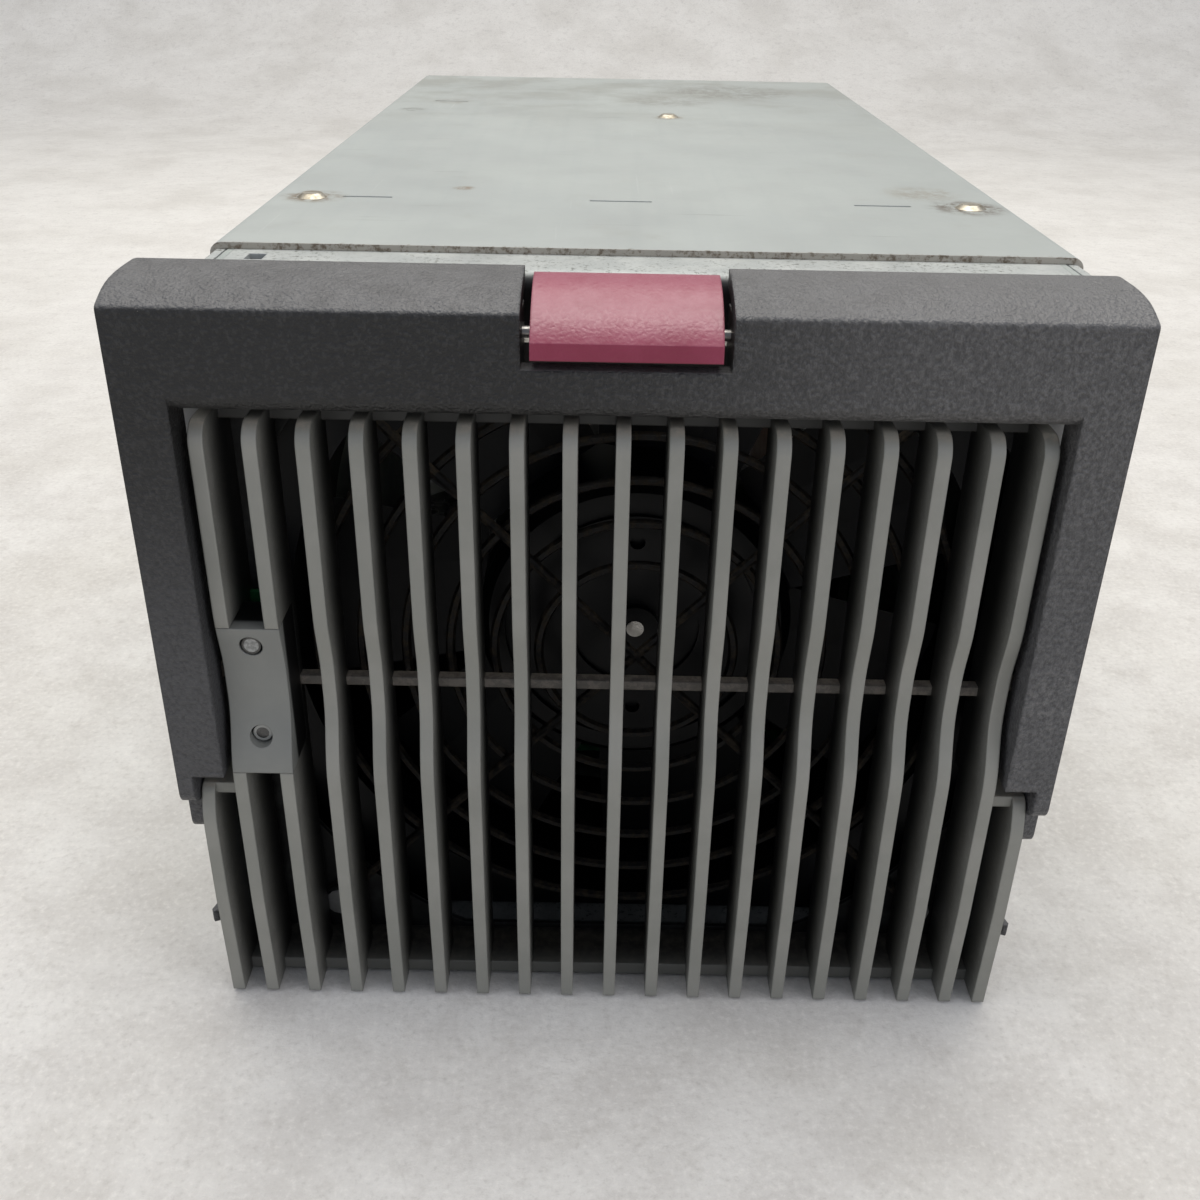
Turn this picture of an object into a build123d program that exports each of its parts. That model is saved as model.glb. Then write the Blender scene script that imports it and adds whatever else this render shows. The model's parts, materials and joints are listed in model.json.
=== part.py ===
from build123d import *
import math
import os

os.makedirs("parts", exist_ok=True)

# The 120 mm class fan sets the size of the whole supply.
fan_size = 119.0
fan_depth = 38.0
fan_side_room = 4.25
fan_end_room = 3.75
isolator = 5.0

# The closed steel case. The origin is its bottom centre, the front looks to negative Y.
case_length = 255.0
sheet = 1.0
bend = 1.5
case_width = fan_size + 2 * fan_side_room
case_height = fan_size + 2 * fan_end_room
case_front = -case_length / 2
case_back = case_length / 2
side_outer = case_width / 2 - sheet
side_inner = side_outer - sheet
roof_top = case_height - sheet
cover_setback = 9.5
cover_return = 14.0

# The moulded grille stands in front of the case and a little to the left of its middle.
grille_depth = 14.0
grille_shift = -3.2
fin_count = 17
fin_pitch = case_width / fin_count
fin_thickness = 2.1
fin_depth = grille_depth - 3.0
fin_bottom = 0.6
face = case_front - grille_depth
last_fin = (fin_count - 1) / 2 * fin_pitch
last_fin_inner = last_fin - fin_thickness / 2
last_fin_outer = last_fin + fin_thickness / 2
outer_fin = last_fin + 0.8 * fin_pitch
grille_half = outer_fin + fin_thickness / 2

# The handle swings on two pins low in the grille's side walls.
side_play = 0.35
handle_wall = 2.5
handle_half = grille_half + side_play + handle_wall
arm_width = 7.6
bar_top = case_height + 0.7
bar_crease = bar_top - 3.3
bar_bottom = bar_top - 17.7
handle_front = face - 2.3
pivot_y = face + 7.5
pivot_z = 41.0
pivot_radius = 2.0
pivot_play = 0.05
arm_bottom = pivot_z + 7.4
fin_top = bar_bottom - 2.5
outer_fin_top = pivot_z + 4.0

# The release latch sits in a notch in the middle of the handle's bar.
latch_half = 12.9
latch_side_play = 1.3
notch_half = latch_half + latch_side_play
latch_pin_y = face + 3.5
latch_pin_z = bar_top - 7.2
notch_floor = latch_pin_z - 3.6
latch_pin_radius = 0.8
latch_play = 0.05
latch_boss = 2.2
hook_half = 5.0

# Fan, guard and motor
fan_z = case_height / 2
fan_hole = fan_size / 2 - 7.0
fan_front = case_front + sheet + isolator
fan_back = fan_front + fan_depth
fan_bore = fan_size / 2 - 1.5
blade_tip = fan_bore - 1.5
hub_radius = 0.2252 * fan_size
hub_front = fan_front + 2.5
hub_depth = 0.75 * fan_depth
blade_count = 7
shaft_radius = 1.5
bearing_play = 0.05
guard_wire = 0.8
guard_first = 0.6 * hub_radius
guard_rings = 6
guard_step = (fan_hole - guard_first) / (guard_rings - 1)
guard_y = case_front - guard_wire
screw_radius = 1.5
rivet_radius = 1.6
screw_sides = 8
head_sides = 12

# The board and what stands on it.
board_z = 7.0
board_thickness = 1.6
board_top = board_z + board_thickness
board_half = side_inner - 3.75
board_front = fan_back + 8.0
board_back = case_back - 8.0


def facing_front(y):
    """Plane seen from the front: its x is +X and its y is +Z, and extrude(amount=-t) goes to the rear."""
    return Plane.XZ.offset(-y)


def block(x, y, z, mode=Mode.ADD):
    """Box in the open part, given by its two ends along each axis."""
    with Locations(((x[0] + x[1]) / 2, (y[0] + y[1]) / 2, (z[0] + z[1]) / 2)):
        Box(abs(x[1] - x[0]), abs(y[1] - y[0]), abs(z[1] - z[0]), mode=mode)


def rod(radius, start, end, x, z, mode=Mode.ADD, sides=0):
    """Rod in the open part along Y, from start to end, at x and z; small hidden ones get flat sides."""
    if sides:
        with BuildSketch(facing_front(start)) as outline:
            with Locations((x, z)):
                RegularPolygon(radius, sides)
        extrude(outline.sketch, amount=start - end, mode=mode)
    else:
        with Locations(Location((x, (start + end) / 2, z), (90, 0, 0))):
            Cylinder(radius, abs(end - start), mode=mode)


def cross_rod(radius, start, end, y, z, mode=Mode.ADD, sides=0):
    """Rod in the open part along X, from start to end, at y and z."""
    if sides:
        with BuildSketch(Plane.YZ.offset(start)) as outline:
            with Locations((y, z)):
                RegularPolygon(radius, sides)
        extrude(outline.sketch, amount=end - start, mode=mode)
    else:
        with Locations(Location(((start + end) / 2, y, z), (0, 90, 0))):
            Cylinder(radius, abs(end - start), mode=mode)


def post(radius, low, high, x, y, mode=Mode.ADD, sides=0):
    """Rod in the open part along Z, from low to high, at x and y."""
    if sides:
        with BuildSketch(Plane.XY.offset(low)) as outline:
            with Locations((x, y)):
                RegularPolygon(radius, sides)
        extrude(outline.sketch, amount=high - low, mode=mode)
    else:
        with Locations((x, y, (low + high) / 2)):
            Cylinder(radius, abs(high - low), mode=mode)


# Front of a fin, seen from the side: distance behind the fins' plane, height and corner radius
block_low = arm_bottom + 0.4
block_high = block_low + 25.5
fin_belly = -1.5
fin_curve = 18.0
tall_front = [
    (fin_belly, block_low + 1.1, fin_curve),
    (1.5, block_low + 10.1, fin_curve),
    (1.5, block_high - 6.4, fin_curve),
    (0, block_high + 1.1, fin_curve),
    (0, fin_top, 3.3),
]
short_front = [(fin_belly, outer_fin_top - 5.5, 12), (0.3, outer_fin_top, 2)]


def fin_solid(width, top, back, upper):
    """Slab with the curved front of the grille's fins, centred on x = 0."""
    with BuildPart() as slab:
        with BuildSketch(Plane.YZ):
            with BuildLine():
                FilletPolyline(
                    (face + fin_belly, fin_bottom + 21.5),
                    *[(face + step, height) for step, height, turn in upper],
                    (face + back, top),
                    radius=[turn for step, height, turn in upper],
                )
                Polyline(
                    (face + back, top),
                    (face + back, fin_bottom),
                    (face - 0.4, fin_bottom),
                    (face + fin_belly, fin_bottom + 21.5),
                )
            make_face()
        extrude(amount=width / 2, both=True)
    return slab.part


# Steel tray: the bottom and both side walls of the case
tray_front = case_front + sheet
tray_back = case_back - sheet
rivet_heights = (30, roof_top - 33.5)
rivet_places = (case_front + 9, tray_back - 8)
cover_screw_places = (case_front + 57.5, case_back - 37.5)
cover_screw_z = roof_top - 6
with BuildPart() as chassis_tray:
    with BuildSketch(facing_front(tray_front)) as tray_section:
        Rectangle(2 * side_outer, roof_top, align=(Align.CENTER, Align.MIN))
        fillet(tray_section.vertices().group_by(Axis.Y)[0], radius=bend)
        with Locations((0, sheet)):
            Rectangle(2 * side_inner, roof_top, align=(Align.CENTER, Align.MIN), mode=Mode.SUBTRACT)
    extrude(amount=-(tray_back - tray_front))
    for side in (-1, 1):
        wall = (side * side_inner, side * side_outer)
        for height in rivet_heights:
            for place in rivet_places:
                cross_rod(rivet_radius, *wall, place, height, Mode.SUBTRACT, screw_sides)
        for place in cover_screw_places:
            cross_rod(screw_radius, *wall, place, cover_screw_z, Mode.SUBTRACT, screw_sides)
chassis_tray.part.label = "chassis_tray"
export_step(chassis_tray.part, "parts/chassis_tray.step")

# Lid: a folded sheet over the tray, its sides reach down outside the tray's walls
cover_front = case_front + cover_setback
lid_row = case_front + 48.0
cover_rivet_places = [
    (-case_width / 2 + 5.95, lid_row),
    (case_width / 2 - 5.95, lid_row + 0.5),
    (0.073 * case_width, case_back - 91.5),
]
cover_slit_places = [
    (-0.38 * case_width, 9.2, lid_row - 0.3),
    (-0.029 * case_width, 10.9, lid_row + 1.0),
    (0.339 * case_width, 10.4, lid_row + 1.7),
    (-0.385 * case_width, 8.9, case_back - 66.5),
]
slit_width = 0.9
rivet_head = 2.7
rivet_rise = 0.7
with BuildPart() as top_cover:
    with BuildSketch(facing_front(cover_front)) as cover_section:
        with Locations((0, case_height)):
            Rectangle(case_width, cover_return, align=(Align.CENTER, Align.MAX))
        fillet(cover_section.vertices().group_by(Axis.Y)[-1], radius=bend)
        with Locations((0, roof_top)):
            Rectangle(2 * side_outer, cover_return, align=(Align.CENTER, Align.MAX), mode=Mode.SUBTRACT)
    extrude(amount=-(case_back - cover_front))
    block((-side_outer, side_outer), (case_back - sheet, case_back), (roof_top - 9, roof_top))
    for x, y in cover_rivet_places:
        post(rivet_radius, roof_top, case_height, x, y, Mode.SUBTRACT, screw_sides)
    for x, length, y in cover_slit_places:
        across = (x - length / 2, x + length / 2)
        block(across, (y - slit_width / 2, y + slit_width / 2), (roof_top, case_height), Mode.SUBTRACT)
    for side in (-1, 1):
        for place in cover_screw_places:
            wall = (side * side_outer, side * case_width / 2)
            cross_rod(2.6, *wall, place, cover_screw_z, Mode.SUBTRACT, head_sides)
top_cover.part.label = "top_cover"
export_step(top_cover.part, "parts/top_cover.step")

with BuildPart() as cover_rivets:
    for x, y in cover_rivet_places:
        post(rivet_radius, roof_top - 1.2, case_height, x, y, sides=screw_sides)
        with Locations((x, y, case_height + rivet_rise / 2)):
            Cone(rivet_head, 0.62 * rivet_head, rivet_rise)
cover_rivets.part.label = "cover_rivets"
export_step(cover_rivets.part, "parts/cover_rivets.step")

# Flush screws that hold the lid's sides to the tray
with BuildPart() as cover_screws:
    for side in (-1, 1):
        for place in cover_screw_places:
            cross_rod(2.6, side * side_outer, side * case_width / 2, place, cover_screw_z, sides=head_sides)
            cross_rod(
                screw_radius,
                side * (side_inner - 2),
                side * side_outer,
                place,
                cover_screw_z,
                sides=screw_sides,
            )
cover_screws.part.label = "cover_screws"
export_step(cover_screws.part, "parts/cover_screws.step")

# Front frame: a folded collar that closes the front of the tray and carries the fan and the grille
opening_radius = fan_bore + 8.5
opening_border = 3.0
opening_low = 4.0
opening_top = case_height - 8.0
window_half = hook_half + 1.0
window_top = case_height - 2.3
roof_depth = 26.0
roof_bend = 2.5
flange_depth = 16.0
with BuildPart() as front_frame:
    with BuildSketch(Plane.YZ):
        with BuildLine():
            FilletPolyline(
                (case_front, 0.5),
                (case_front, roof_top),
                (case_front + roof_depth, roof_top),
                radius=roof_bend,
            )
            FilletPolyline(
                (case_front + sheet, 0.5),
                (case_front + sheet, roof_top - sheet),
                (case_front + roof_depth, roof_top - sheet),
                radius=roof_bend - sheet,
            )
            Line((case_front, 0.5), (case_front + sheet, 0.5))
            Line((case_front + roof_depth, roof_top), (case_front + roof_depth, roof_top - sheet))
        make_face()
    extrude(amount=side_inner, both=True)
    block(
        (grille_shift - grille_half + 0.05, case_width / 2),
        (case_front, case_front + sheet),
        (0.5, roof_top - roof_bend),
    )
    block((-side_inner, side_inner), (case_front + sheet, case_front + flange_depth), (sheet, 2 * sheet))
    for side in (-1, 1):
        block(
            (side * (side_inner - sheet), side * side_inner),
            (case_front + sheet, case_front + flange_depth),
            (2 * sheet, roof_top - roof_bend),
        )
        flange = (side * (side_inner - sheet), side * side_inner)
        for height in rivet_heights:
            cross_rod(rivet_radius, *flange, rivet_places[0], height, Mode.SUBTRACT, screw_sides)
    with BuildSketch(facing_front(case_front - 1)):
        with Locations((0, fan_z)):
            Circle(opening_radius)
        with Locations((0, (opening_top + opening_low) / 2)):
            Rectangle(case_width - 2 * opening_border, opening_top - opening_low, mode=Mode.INTERSECT)
    extrude(amount=-(sheet + 1.5), mode=Mode.SUBTRACT)
    block(
        (grille_shift - window_half, grille_shift + window_half),
        (case_front - 1, case_front + 2.4),
        (opening_top - 1, window_top),
        Mode.SUBTRACT,
    )
    for side in (-1, 1):
        for up in (-1, 1):
            eye = (side * fan_hole, fan_z + up * fan_hole)
            rod(screw_radius, case_front - 1, case_front + 2, *eye, Mode.SUBTRACT, screw_sides)
    # the small relief hole in the left of the roof, just in front of the lid
    relief = (-case_width / 2 + 4.95, -case_width / 2 + 7.55)
    block(relief, (case_front + 5, case_front + 8.5), (roof_top - 2, roof_top + 1), Mode.SUBTRACT)
front_frame.part.label = "front_frame"
export_step(front_frame.part, "parts/front_frame.step")

with BuildPart() as frame_rivets:
    for side in (-1, 1):
        shank = (side * (side_inner - sheet - 0.8), side * side_outer)
        head = (side * side_outer, side * (side_outer + 0.8))
        for height in rivet_heights:
            for place in rivet_places:
                cross_rod(rivet_radius, *shank, place, height, sides=screw_sides)
                cross_rod(2.8, *head, place, height, sides=head_sides)
frame_rivets.part.label = "frame_rivets"
export_step(frame_rivets.part, "parts/frame_rivets.step")

# Rear panel: exhaust slots above, the cut-out for the blind mating connector low in the middle
connector_half = side_inner - 19.75
connector_low = board_top + 1.4
connector_high = connector_low + 22.0
connector_middle = (connector_low + connector_high) / 2
connector_screw_x = connector_half + 6.0
panel_front = tray_back - sheet
panel_flange = 14.0
vent_low = connector_high + 11.5
vent_high = roof_top - 11.0
vent_gap = 5.0
vent_width = 4.4
vent_length = (vent_high - vent_low - vent_gap) / 2
vent_columns = 13
vent_pitch = 2 * (side_inner - 11.35) / (vent_columns - 1)
with BuildPart() as rear_panel:
    block((-side_inner, side_inner), (panel_front, tray_back), (sheet, roof_top))
    block((-side_inner, side_inner), (panel_front - panel_flange, panel_front), (sheet, 2 * sheet))
    for side in (-1, 1):
        flange = (side * (side_inner - sheet), side * side_inner)
        block(flange, (panel_front - panel_flange, panel_front), (2 * sheet, roof_top - 4))
        for height in rivet_heights:
            cross_rod(rivet_radius, *flange, rivet_places[1], height, Mode.SUBTRACT, screw_sides)
        rod(
            screw_radius,
            panel_front - 1,
            tray_back + 1,
            side * connector_screw_x,
            connector_middle,
            Mode.SUBTRACT,
            screw_sides,
        )
    block(
        (-connector_half, connector_half),
        (panel_front - 1, tray_back + 1),
        (connector_low, connector_high),
        Mode.SUBTRACT,
    )
    with BuildSketch(facing_front(panel_front - 1)) as vents:
        with Locations((0, (vent_low + vent_high) / 2)):
            with GridLocations(vent_pitch, vent_length + vent_gap, vent_columns, 2):
                Rectangle(vent_width, vent_length)
        chamfer(vents.vertices(), length=1.3)
    extrude(amount=-(sheet + 2), mode=Mode.SUBTRACT)
rear_panel.part.label = "rear_panel"
export_step(rear_panel.part, "parts/rear_panel.step")

# Grille: tall fins with an S-shaped front, short outer fins, rails, walls and a back flange
block_left = -last_fin_outer
block_right = -last_fin_inner + fin_pitch
block_back = fin_depth - 2.0
notch_play = 0.1
lens_x = grille_shift - last_fin + fin_pitch / 2
lens_heights = (block_low + 6.0, block_high - 3.4)
lens_radius = 1.5
lens_flange = (fin_pitch - fin_thickness) / 2 - 0.4
rail_bottom = fin_top - 2.0
rail_wall_top = bar_bottom + 7.5
crossbar_z = block_low + 11.2
tall_fin = fin_solid(fin_thickness, fin_top, fin_depth, tall_front)
short_fin = fin_solid(fin_thickness, outer_fin_top, grille_depth, short_front)
with BuildPart() as front_grille:
    with Locations((grille_shift, 0, 0)):
        with GridLocations(fin_pitch, 1, fin_count, 1):
            add(tall_fin)
        with GridLocations(2 * outer_fin, 1, 2, 1):
            add(short_fin)
    # crossbar, top rail with the wall behind the handle's bar, and base wall
    rail = (grille_shift - last_fin_outer, grille_shift + last_fin_outer)
    block(rail, (face + fin_depth - 2, face + fin_depth), (crossbar_z - 0.8, crossbar_z + 0.8))
    block(rail, (face + fin_depth - 2.5, face + fin_depth), (rail_bottom, rail_wall_top))
    block((grille_shift - grille_half, grille_shift + grille_half), (face + 5, case_front), (fin_bottom, 3))
    for side in (-1, 1):
        inner = grille_shift + side * last_fin_inner
        outer = grille_shift + side * last_fin_outer
        edge = grille_shift + side * (grille_half - 0.05)
        block((inner, outer), (face + fin_depth - 2, case_front), (outer_fin_top - 2, fin_top))
        block((inner, edge), (face + 1, case_front), (outer_fin_top - 2, outer_fin_top))
        block((outer, edge), (case_front - 2, case_front), (outer_fin_top - 2, fin_top - 12))
        # snap finger on the outer side of the short fin
        tip = grille_shift + side * (grille_half + 1.6)
        root = grille_shift + side * grille_half
        with BuildSketch(Plane.XY.offset(11)):
            with BuildLine():
                Polyline((root, face + 2), (tip, face + 3), (tip, face + 7), (root, face + 8), close=True)
            make_face()
        extrude(amount=8)
        # bore for the handle's pivot pin
        cross_rod(pivot_radius, root - side * 3, tip, pivot_y, pivot_z, Mode.SUBTRACT)
    # room for the indicator block in the two fins on the left
    block(
        (grille_shift + block_left - 0.01, grille_shift + block_right + notch_play),
        (face - 3, face + block_back + notch_play),
        (block_low - notch_play, block_high + notch_play),
        Mode.SUBTRACT,
    )
front_grille.part.label = "front_grille"
export_step(front_grille.part, "parts/front_grille.step")

# Indicator block: follows the fins' front and carries two light pipes
curved_block = fin_solid(block_right - block_left, fin_top, block_back, tall_front)
lens_end = case_front - 3.2
with BuildPart() as indicator_block:
    with Locations((grille_shift + (block_left + block_right) / 2, 0, 0)):
        add(curved_block)
    block((-case_width, 0), (face - 3, case_front), (block_low, block_high), Mode.INTERSECT)
    for height in lens_heights:
        rod(lens_radius + 0.3, face - 3, face + 4, lens_x, height, Mode.SUBTRACT)
        rod(lens_radius, face + 4, case_front, lens_x, height, Mode.SUBTRACT)
indicator_block.part.label = "indicator_block"
export_step(indicator_block.part, "parts/indicator_block.step")

for name, height in (("fault_lens", lens_heights[0]), ("power_lens", lens_heights[1])):
    with BuildPart() as lens:
        rod(lens_radius, face + 1.2, lens_end, lens_x, height)
        rod(lens_flange, face + block_back, face + block_back + 1, lens_x, height, sides=head_sides)
    lens.part.label = name
    export_step(lens.part, "parts/" + name + ".step")

# Small board behind the light pipes, its edge against the grille's side wall
led_board_left = grille_shift - last_fin_inner
led_board_y = case_front - 1.6
with BuildPart() as indicator_board:
    block((led_board_left, led_board_left + 6), (led_board_y, led_board_y + 1), (block_low + 1, block_high))
indicator_board.part.label = "indicator_board"
export_step(indicator_board.part, "parts/indicator_board.step")

with BuildPart() as indicator_leds:
    for height in lens_heights:
        block((lens_x - 1.2, lens_x + 1.2), (led_board_y - 0.7, led_board_y), (height - 1, height + 1))
        rod(0.8, led_board_y - 1.3, led_board_y - 0.7, lens_x, height, sides=head_sides)
indicator_leds.part.label = "indicator_leds"
export_step(indicator_leds.part, "parts/indicator_leds.step")

# Handle: a convex bar of channel section between two arms, with side plates that end in the pivot feet
foot_low = pivot_z - 6.1
bar_shoulder = bar_crease + 0.67 * (bar_top - bar_crease)
foot_back = face + 14.0
plate_back = face + 11.3
with BuildPart() as lever_handle:
    with BuildSketch(Plane.YZ.offset(grille_shift)) as bar_section:
        with BuildLine():
            ThreePointArc((handle_front, bar_crease), (face + 3.5, bar_shoulder), (plate_back, bar_top))
            Line((plate_back, bar_top), (plate_back, bar_top - handle_wall))
            ThreePointArc(
                (plate_back, bar_top - handle_wall),
                (face + 5, bar_shoulder - 0.96 * handle_wall),
                (face + 1.2, bar_crease - 0.68 * handle_wall),
            )
            Polyline(
                (face + 1.2, bar_crease - 0.68 * handle_wall),
                (face + 1.2, bar_bottom),
                (handle_front, bar_bottom),
                (handle_front, bar_crease),
            )
        make_face()
        fillet(bar_section.vertices().sort_by_distance((handle_front, bar_bottom))[0], radius=2.4)
        fillet(bar_section.vertices().sort_by_distance((handle_front, bar_crease))[0], radius=0.9)
    extrude(amount=handle_half, both=True)
    for side in (-1, 1):
        outer = grille_shift + side * handle_half
        inner = grille_shift + side * (handle_half - arm_width)
        # front wall of the arm and its inner return
        block((inner, outer), (handle_front, handle_front + handle_wall), (arm_bottom, bar_crease - 1.5))
        block((inner, inner + side * 2), (handle_front, face + 4), (arm_bottom, bar_crease - 2.5))
        # side plate with the foot round the pivot
        with BuildSketch(Plane.YZ.offset(outer)) as plate_section:
            with BuildLine():
                Polyline(
                    (handle_front, bar_crease - 1),
                    (plate_back, bar_top - 1.7),
                    (plate_back, pivot_z + 11),
                    (foot_back, pivot_z + 6.5),
                    (foot_back, foot_low),
                    (face + 1, foot_low),
                    (face + 1, pivot_z + 1.4),
                    (handle_front, pivot_z + 1.4),
                    close=True,
                )
            make_face()
            for corner in ((foot_back, foot_low), (face + 1, foot_low), (handle_front, pivot_z + 1.4)):
                fillet(plate_section.vertices().sort_by_distance(corner)[0], radius=2.8)
        extrude(amount=-side * handle_wall)
        cross_rod(pivot_radius + pivot_play, outer + side, outer - side * 4, pivot_y, pivot_z, Mode.SUBTRACT)
        # webs inside the bar
        for place in (0.46 * handle_half, 0.72 * handle_half):
            web = grille_shift + side * place
            block((web - 1, web + 1), (face + 1, face + 7), (bar_bottom + 2, bar_crease - 0.7))
        # cheek beside the latch, it holds the latch's pin
        cheek = (grille_shift + side * notch_half, grille_shift + side * (notch_half + 3.3))
        block(cheek, (face + 1, face + 8), (notch_floor - 3, bar_crease - 0.7))
    # notch for the latch
    block(
        (grille_shift - notch_half, grille_shift + notch_half),
        (handle_front - 2, foot_back),
        (notch_floor, bar_top + 2),
        Mode.SUBTRACT,
    )
    cross_rod(
        latch_pin_radius,
        grille_shift - notch_half - 2.6,
        grille_shift + notch_half + 2.6,
        latch_pin_y,
        latch_pin_z,
        Mode.SUBTRACT,
    )
    # rounded outer corners at the top
    with BuildSketch(facing_front(handle_front - 5)) as handle_outline:
        with Locations((grille_shift, foot_low - 10)):
            Rectangle(2 * handle_half, bar_top + 10 - foot_low, align=(Align.CENTER, Align.MIN))
        fillet(handle_outline.vertices().group_by(Axis.Y)[-1], radius=1.8)
    extrude(amount=-40, mode=Mode.INTERSECT)
lever_handle.part.label = "lever_handle"
export_step(lever_handle.part, "parts/lever_handle.step")

# Pivot pins, pressed into the grille's side walls
with BuildPart() as lever_pins:
    for side in (-1, 1):
        middle = grille_shift + side * grille_half
        cross_rod(pivot_radius, middle - side * fin_thickness, middle + side * 2.6, pivot_y, pivot_z)
lever_pins.part.label = "lever_pins"
export_step(lever_pins.part, "parts/lever_pins.step")

# Release latch: a curved thumb plate with side walls, bosses on the pin and a hook to the rear
arc_centre = (face + 10.5, latch_pin_z - 11.3)
arc_outer = 17.8
arc_inner = 16.0
arc_end = 139.3


def on_arc(radius, angle):
    """Point of the thumb plate's arc, in the side view."""
    turn = math.radians(angle)
    return (arc_centre[0] + radius * math.cos(turn), arc_centre[1] + radius * math.sin(turn))


middle_angle = (90 + arc_end) / 2
spring_from = hook_half + 1.2
spring_to = latch_half - 1.9
hook_end = case_front + sheet + 2.4
with BuildPart() as release_latch:
    with BuildSketch(Plane.YZ.offset(grille_shift)):
        with BuildLine():
            ThreePointArc(on_arc(arc_outer, 90), on_arc(arc_outer, middle_angle), on_arc(arc_outer, arc_end))
            Polyline(
                on_arc(arc_outer, arc_end),
                (face - 3.2, latch_pin_z - 2),
                (face - 1.6, latch_pin_z - 2),
                on_arc(arc_inner, arc_end),
            )
            ThreePointArc(on_arc(arc_inner, arc_end), on_arc(arc_inner, middle_angle), on_arc(arc_inner, 90))
            Line(on_arc(arc_inner, 90), on_arc(arc_outer, 90))
        make_face()
    extrude(amount=latch_half, both=True)
    for side in (-1, 1):
        with BuildSketch(Plane.YZ.offset(grille_shift + side * latch_half)):
            with BuildLine():
                Polyline(
                    (face - 1.7, latch_pin_z - 0.6),
                    (face + 1.4, latch_pin_z - 1.4),
                    (face + 3.5, latch_pin_z - latch_boss),
                    (face + 5.6, latch_pin_z - 0.6),
                    (face + 10.4, latch_pin_z + 3.4),
                    (face + 10.4, latch_pin_z + 5.2),
                    (face + 3.3, latch_pin_z + 4.0),
                    close=True,
                )
            make_face()
        extrude(amount=-side * 1.8)
    cross_rod(latch_boss, grille_shift - latch_half, grille_shift + latch_half, latch_pin_y, latch_pin_z)
    with BuildSketch(Plane.YZ.offset(grille_shift)):
        with BuildLine():
            Polyline(
                (latch_pin_y, latch_pin_z + 0.6),
                (hook_end, latch_pin_z + 0.6),
                (hook_end, latch_pin_z + 2.6),
                (hook_end - 0.8, latch_pin_z + 3.6),
                (hook_end - 1.8, latch_pin_z + 3.6),
                (hook_end - 1.8, latch_pin_z + 2.4),
                (latch_pin_y, latch_pin_z + 2.4),
                close=True,
            )
        make_face()
    extrude(amount=hook_half, both=True)
    for side in (-1, 1):
        block(
            (grille_shift + side * 3, grille_shift + side * 5),
            (latch_pin_y - 1, latch_pin_y + 1),
            (latch_pin_z + 1, latch_pin_z + 4.2),
        )
    cross_rod(
        latch_boss + 1,
        grille_shift + spring_from,
        grille_shift + spring_to,
        latch_pin_y,
        latch_pin_z,
        Mode.SUBTRACT,
    )
    cross_rod(
        latch_pin_radius + latch_play,
        grille_shift - latch_half - 1,
        grille_shift + latch_half + 1,
        latch_pin_y,
        latch_pin_z,
        Mode.SUBTRACT,
    )
release_latch.part.label = "release_latch"
export_step(release_latch.part, "parts/release_latch.step")

with BuildPart() as latch_pin:
    cross_rod(
        latch_pin_radius,
        grille_shift - notch_half - 2.6,
        grille_shift + notch_half + 2.6,
        latch_pin_y,
        latch_pin_z,
    )
latch_pin.part.label = "latch_pin"
export_step(latch_pin.part, "parts/latch_pin.step")

# Torsion spring of the latch, drawn closed: a ribbed tube of four turns round the pin
spring_turns = 4
spring_wire = (spring_to - spring_from - 0.6) / spring_turns / 2
with BuildPart() as latch_spring:
    for turn in range(spring_turns):
        start = grille_shift + spring_from + 0.3 + 2 * spring_wire * turn
        core = latch_pin_radius + 0.35
        cross_rod(core, start, start + 2 * spring_wire, latch_pin_y, latch_pin_z, sides=head_sides)
        wide = start + 0.3 * spring_wire
        cross_rod(core + 0.35, wide, wide + 1.4 * spring_wire, latch_pin_y, latch_pin_z, sides=head_sides)
    length = (grille_shift + spring_from, grille_shift + spring_to)
    bore = latch_pin_radius + latch_play
    cross_rod(bore, *length, latch_pin_y, latch_pin_z, Mode.SUBTRACT, head_sides)
latch_spring.part.label = "latch_spring"
export_step(latch_spring.part, "parts/latch_spring.step")

# Wire guard in front of the fan: rings welded behind two diagonal wires that end in screw eyes
eye_outer = 3.0
weld = 0.25
ring_y = guard_y + 2 * guard_wire * math.cos(math.pi / 6) - weld
with BuildPart() as fan_guard:
    with BuildSketch(Plane.XY.offset(fan_z)):
        for ring in range(guard_rings):
            with Locations((guard_first + guard_step * ring, ring_y)):
                RegularPolygon(guard_wire, 6)
    revolve(axis=Axis((0, 0, fan_z), (0, 1, 0)))
    reach = fan_hole * math.sqrt(2) - eye_outer + guard_wire
    for turn in (45, 135):
        with BuildSketch(Plane((0, guard_y, fan_z), x_dir=(0, 1, 0), z_dir=(turn - 90, 0, 45))) as wire:
            RegularPolygon(guard_wire, screw_sides)
        extrude(wire.sketch, amount=reach, both=True)
    for side in (-1, 1):
        for up in (-1, 1):
            eye = (side * fan_hole, fan_z + up * fan_hole)
            rod(eye_outer, guard_y - guard_wire, case_front, *eye, sides=16)
            rod(screw_radius, guard_y - 2, guard_y + 2, *eye, Mode.SUBTRACT, screw_sides)
fan_guard.part.label = "fan_guard"
export_step(fan_guard.part, "parts/fan_guard.step")

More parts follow.
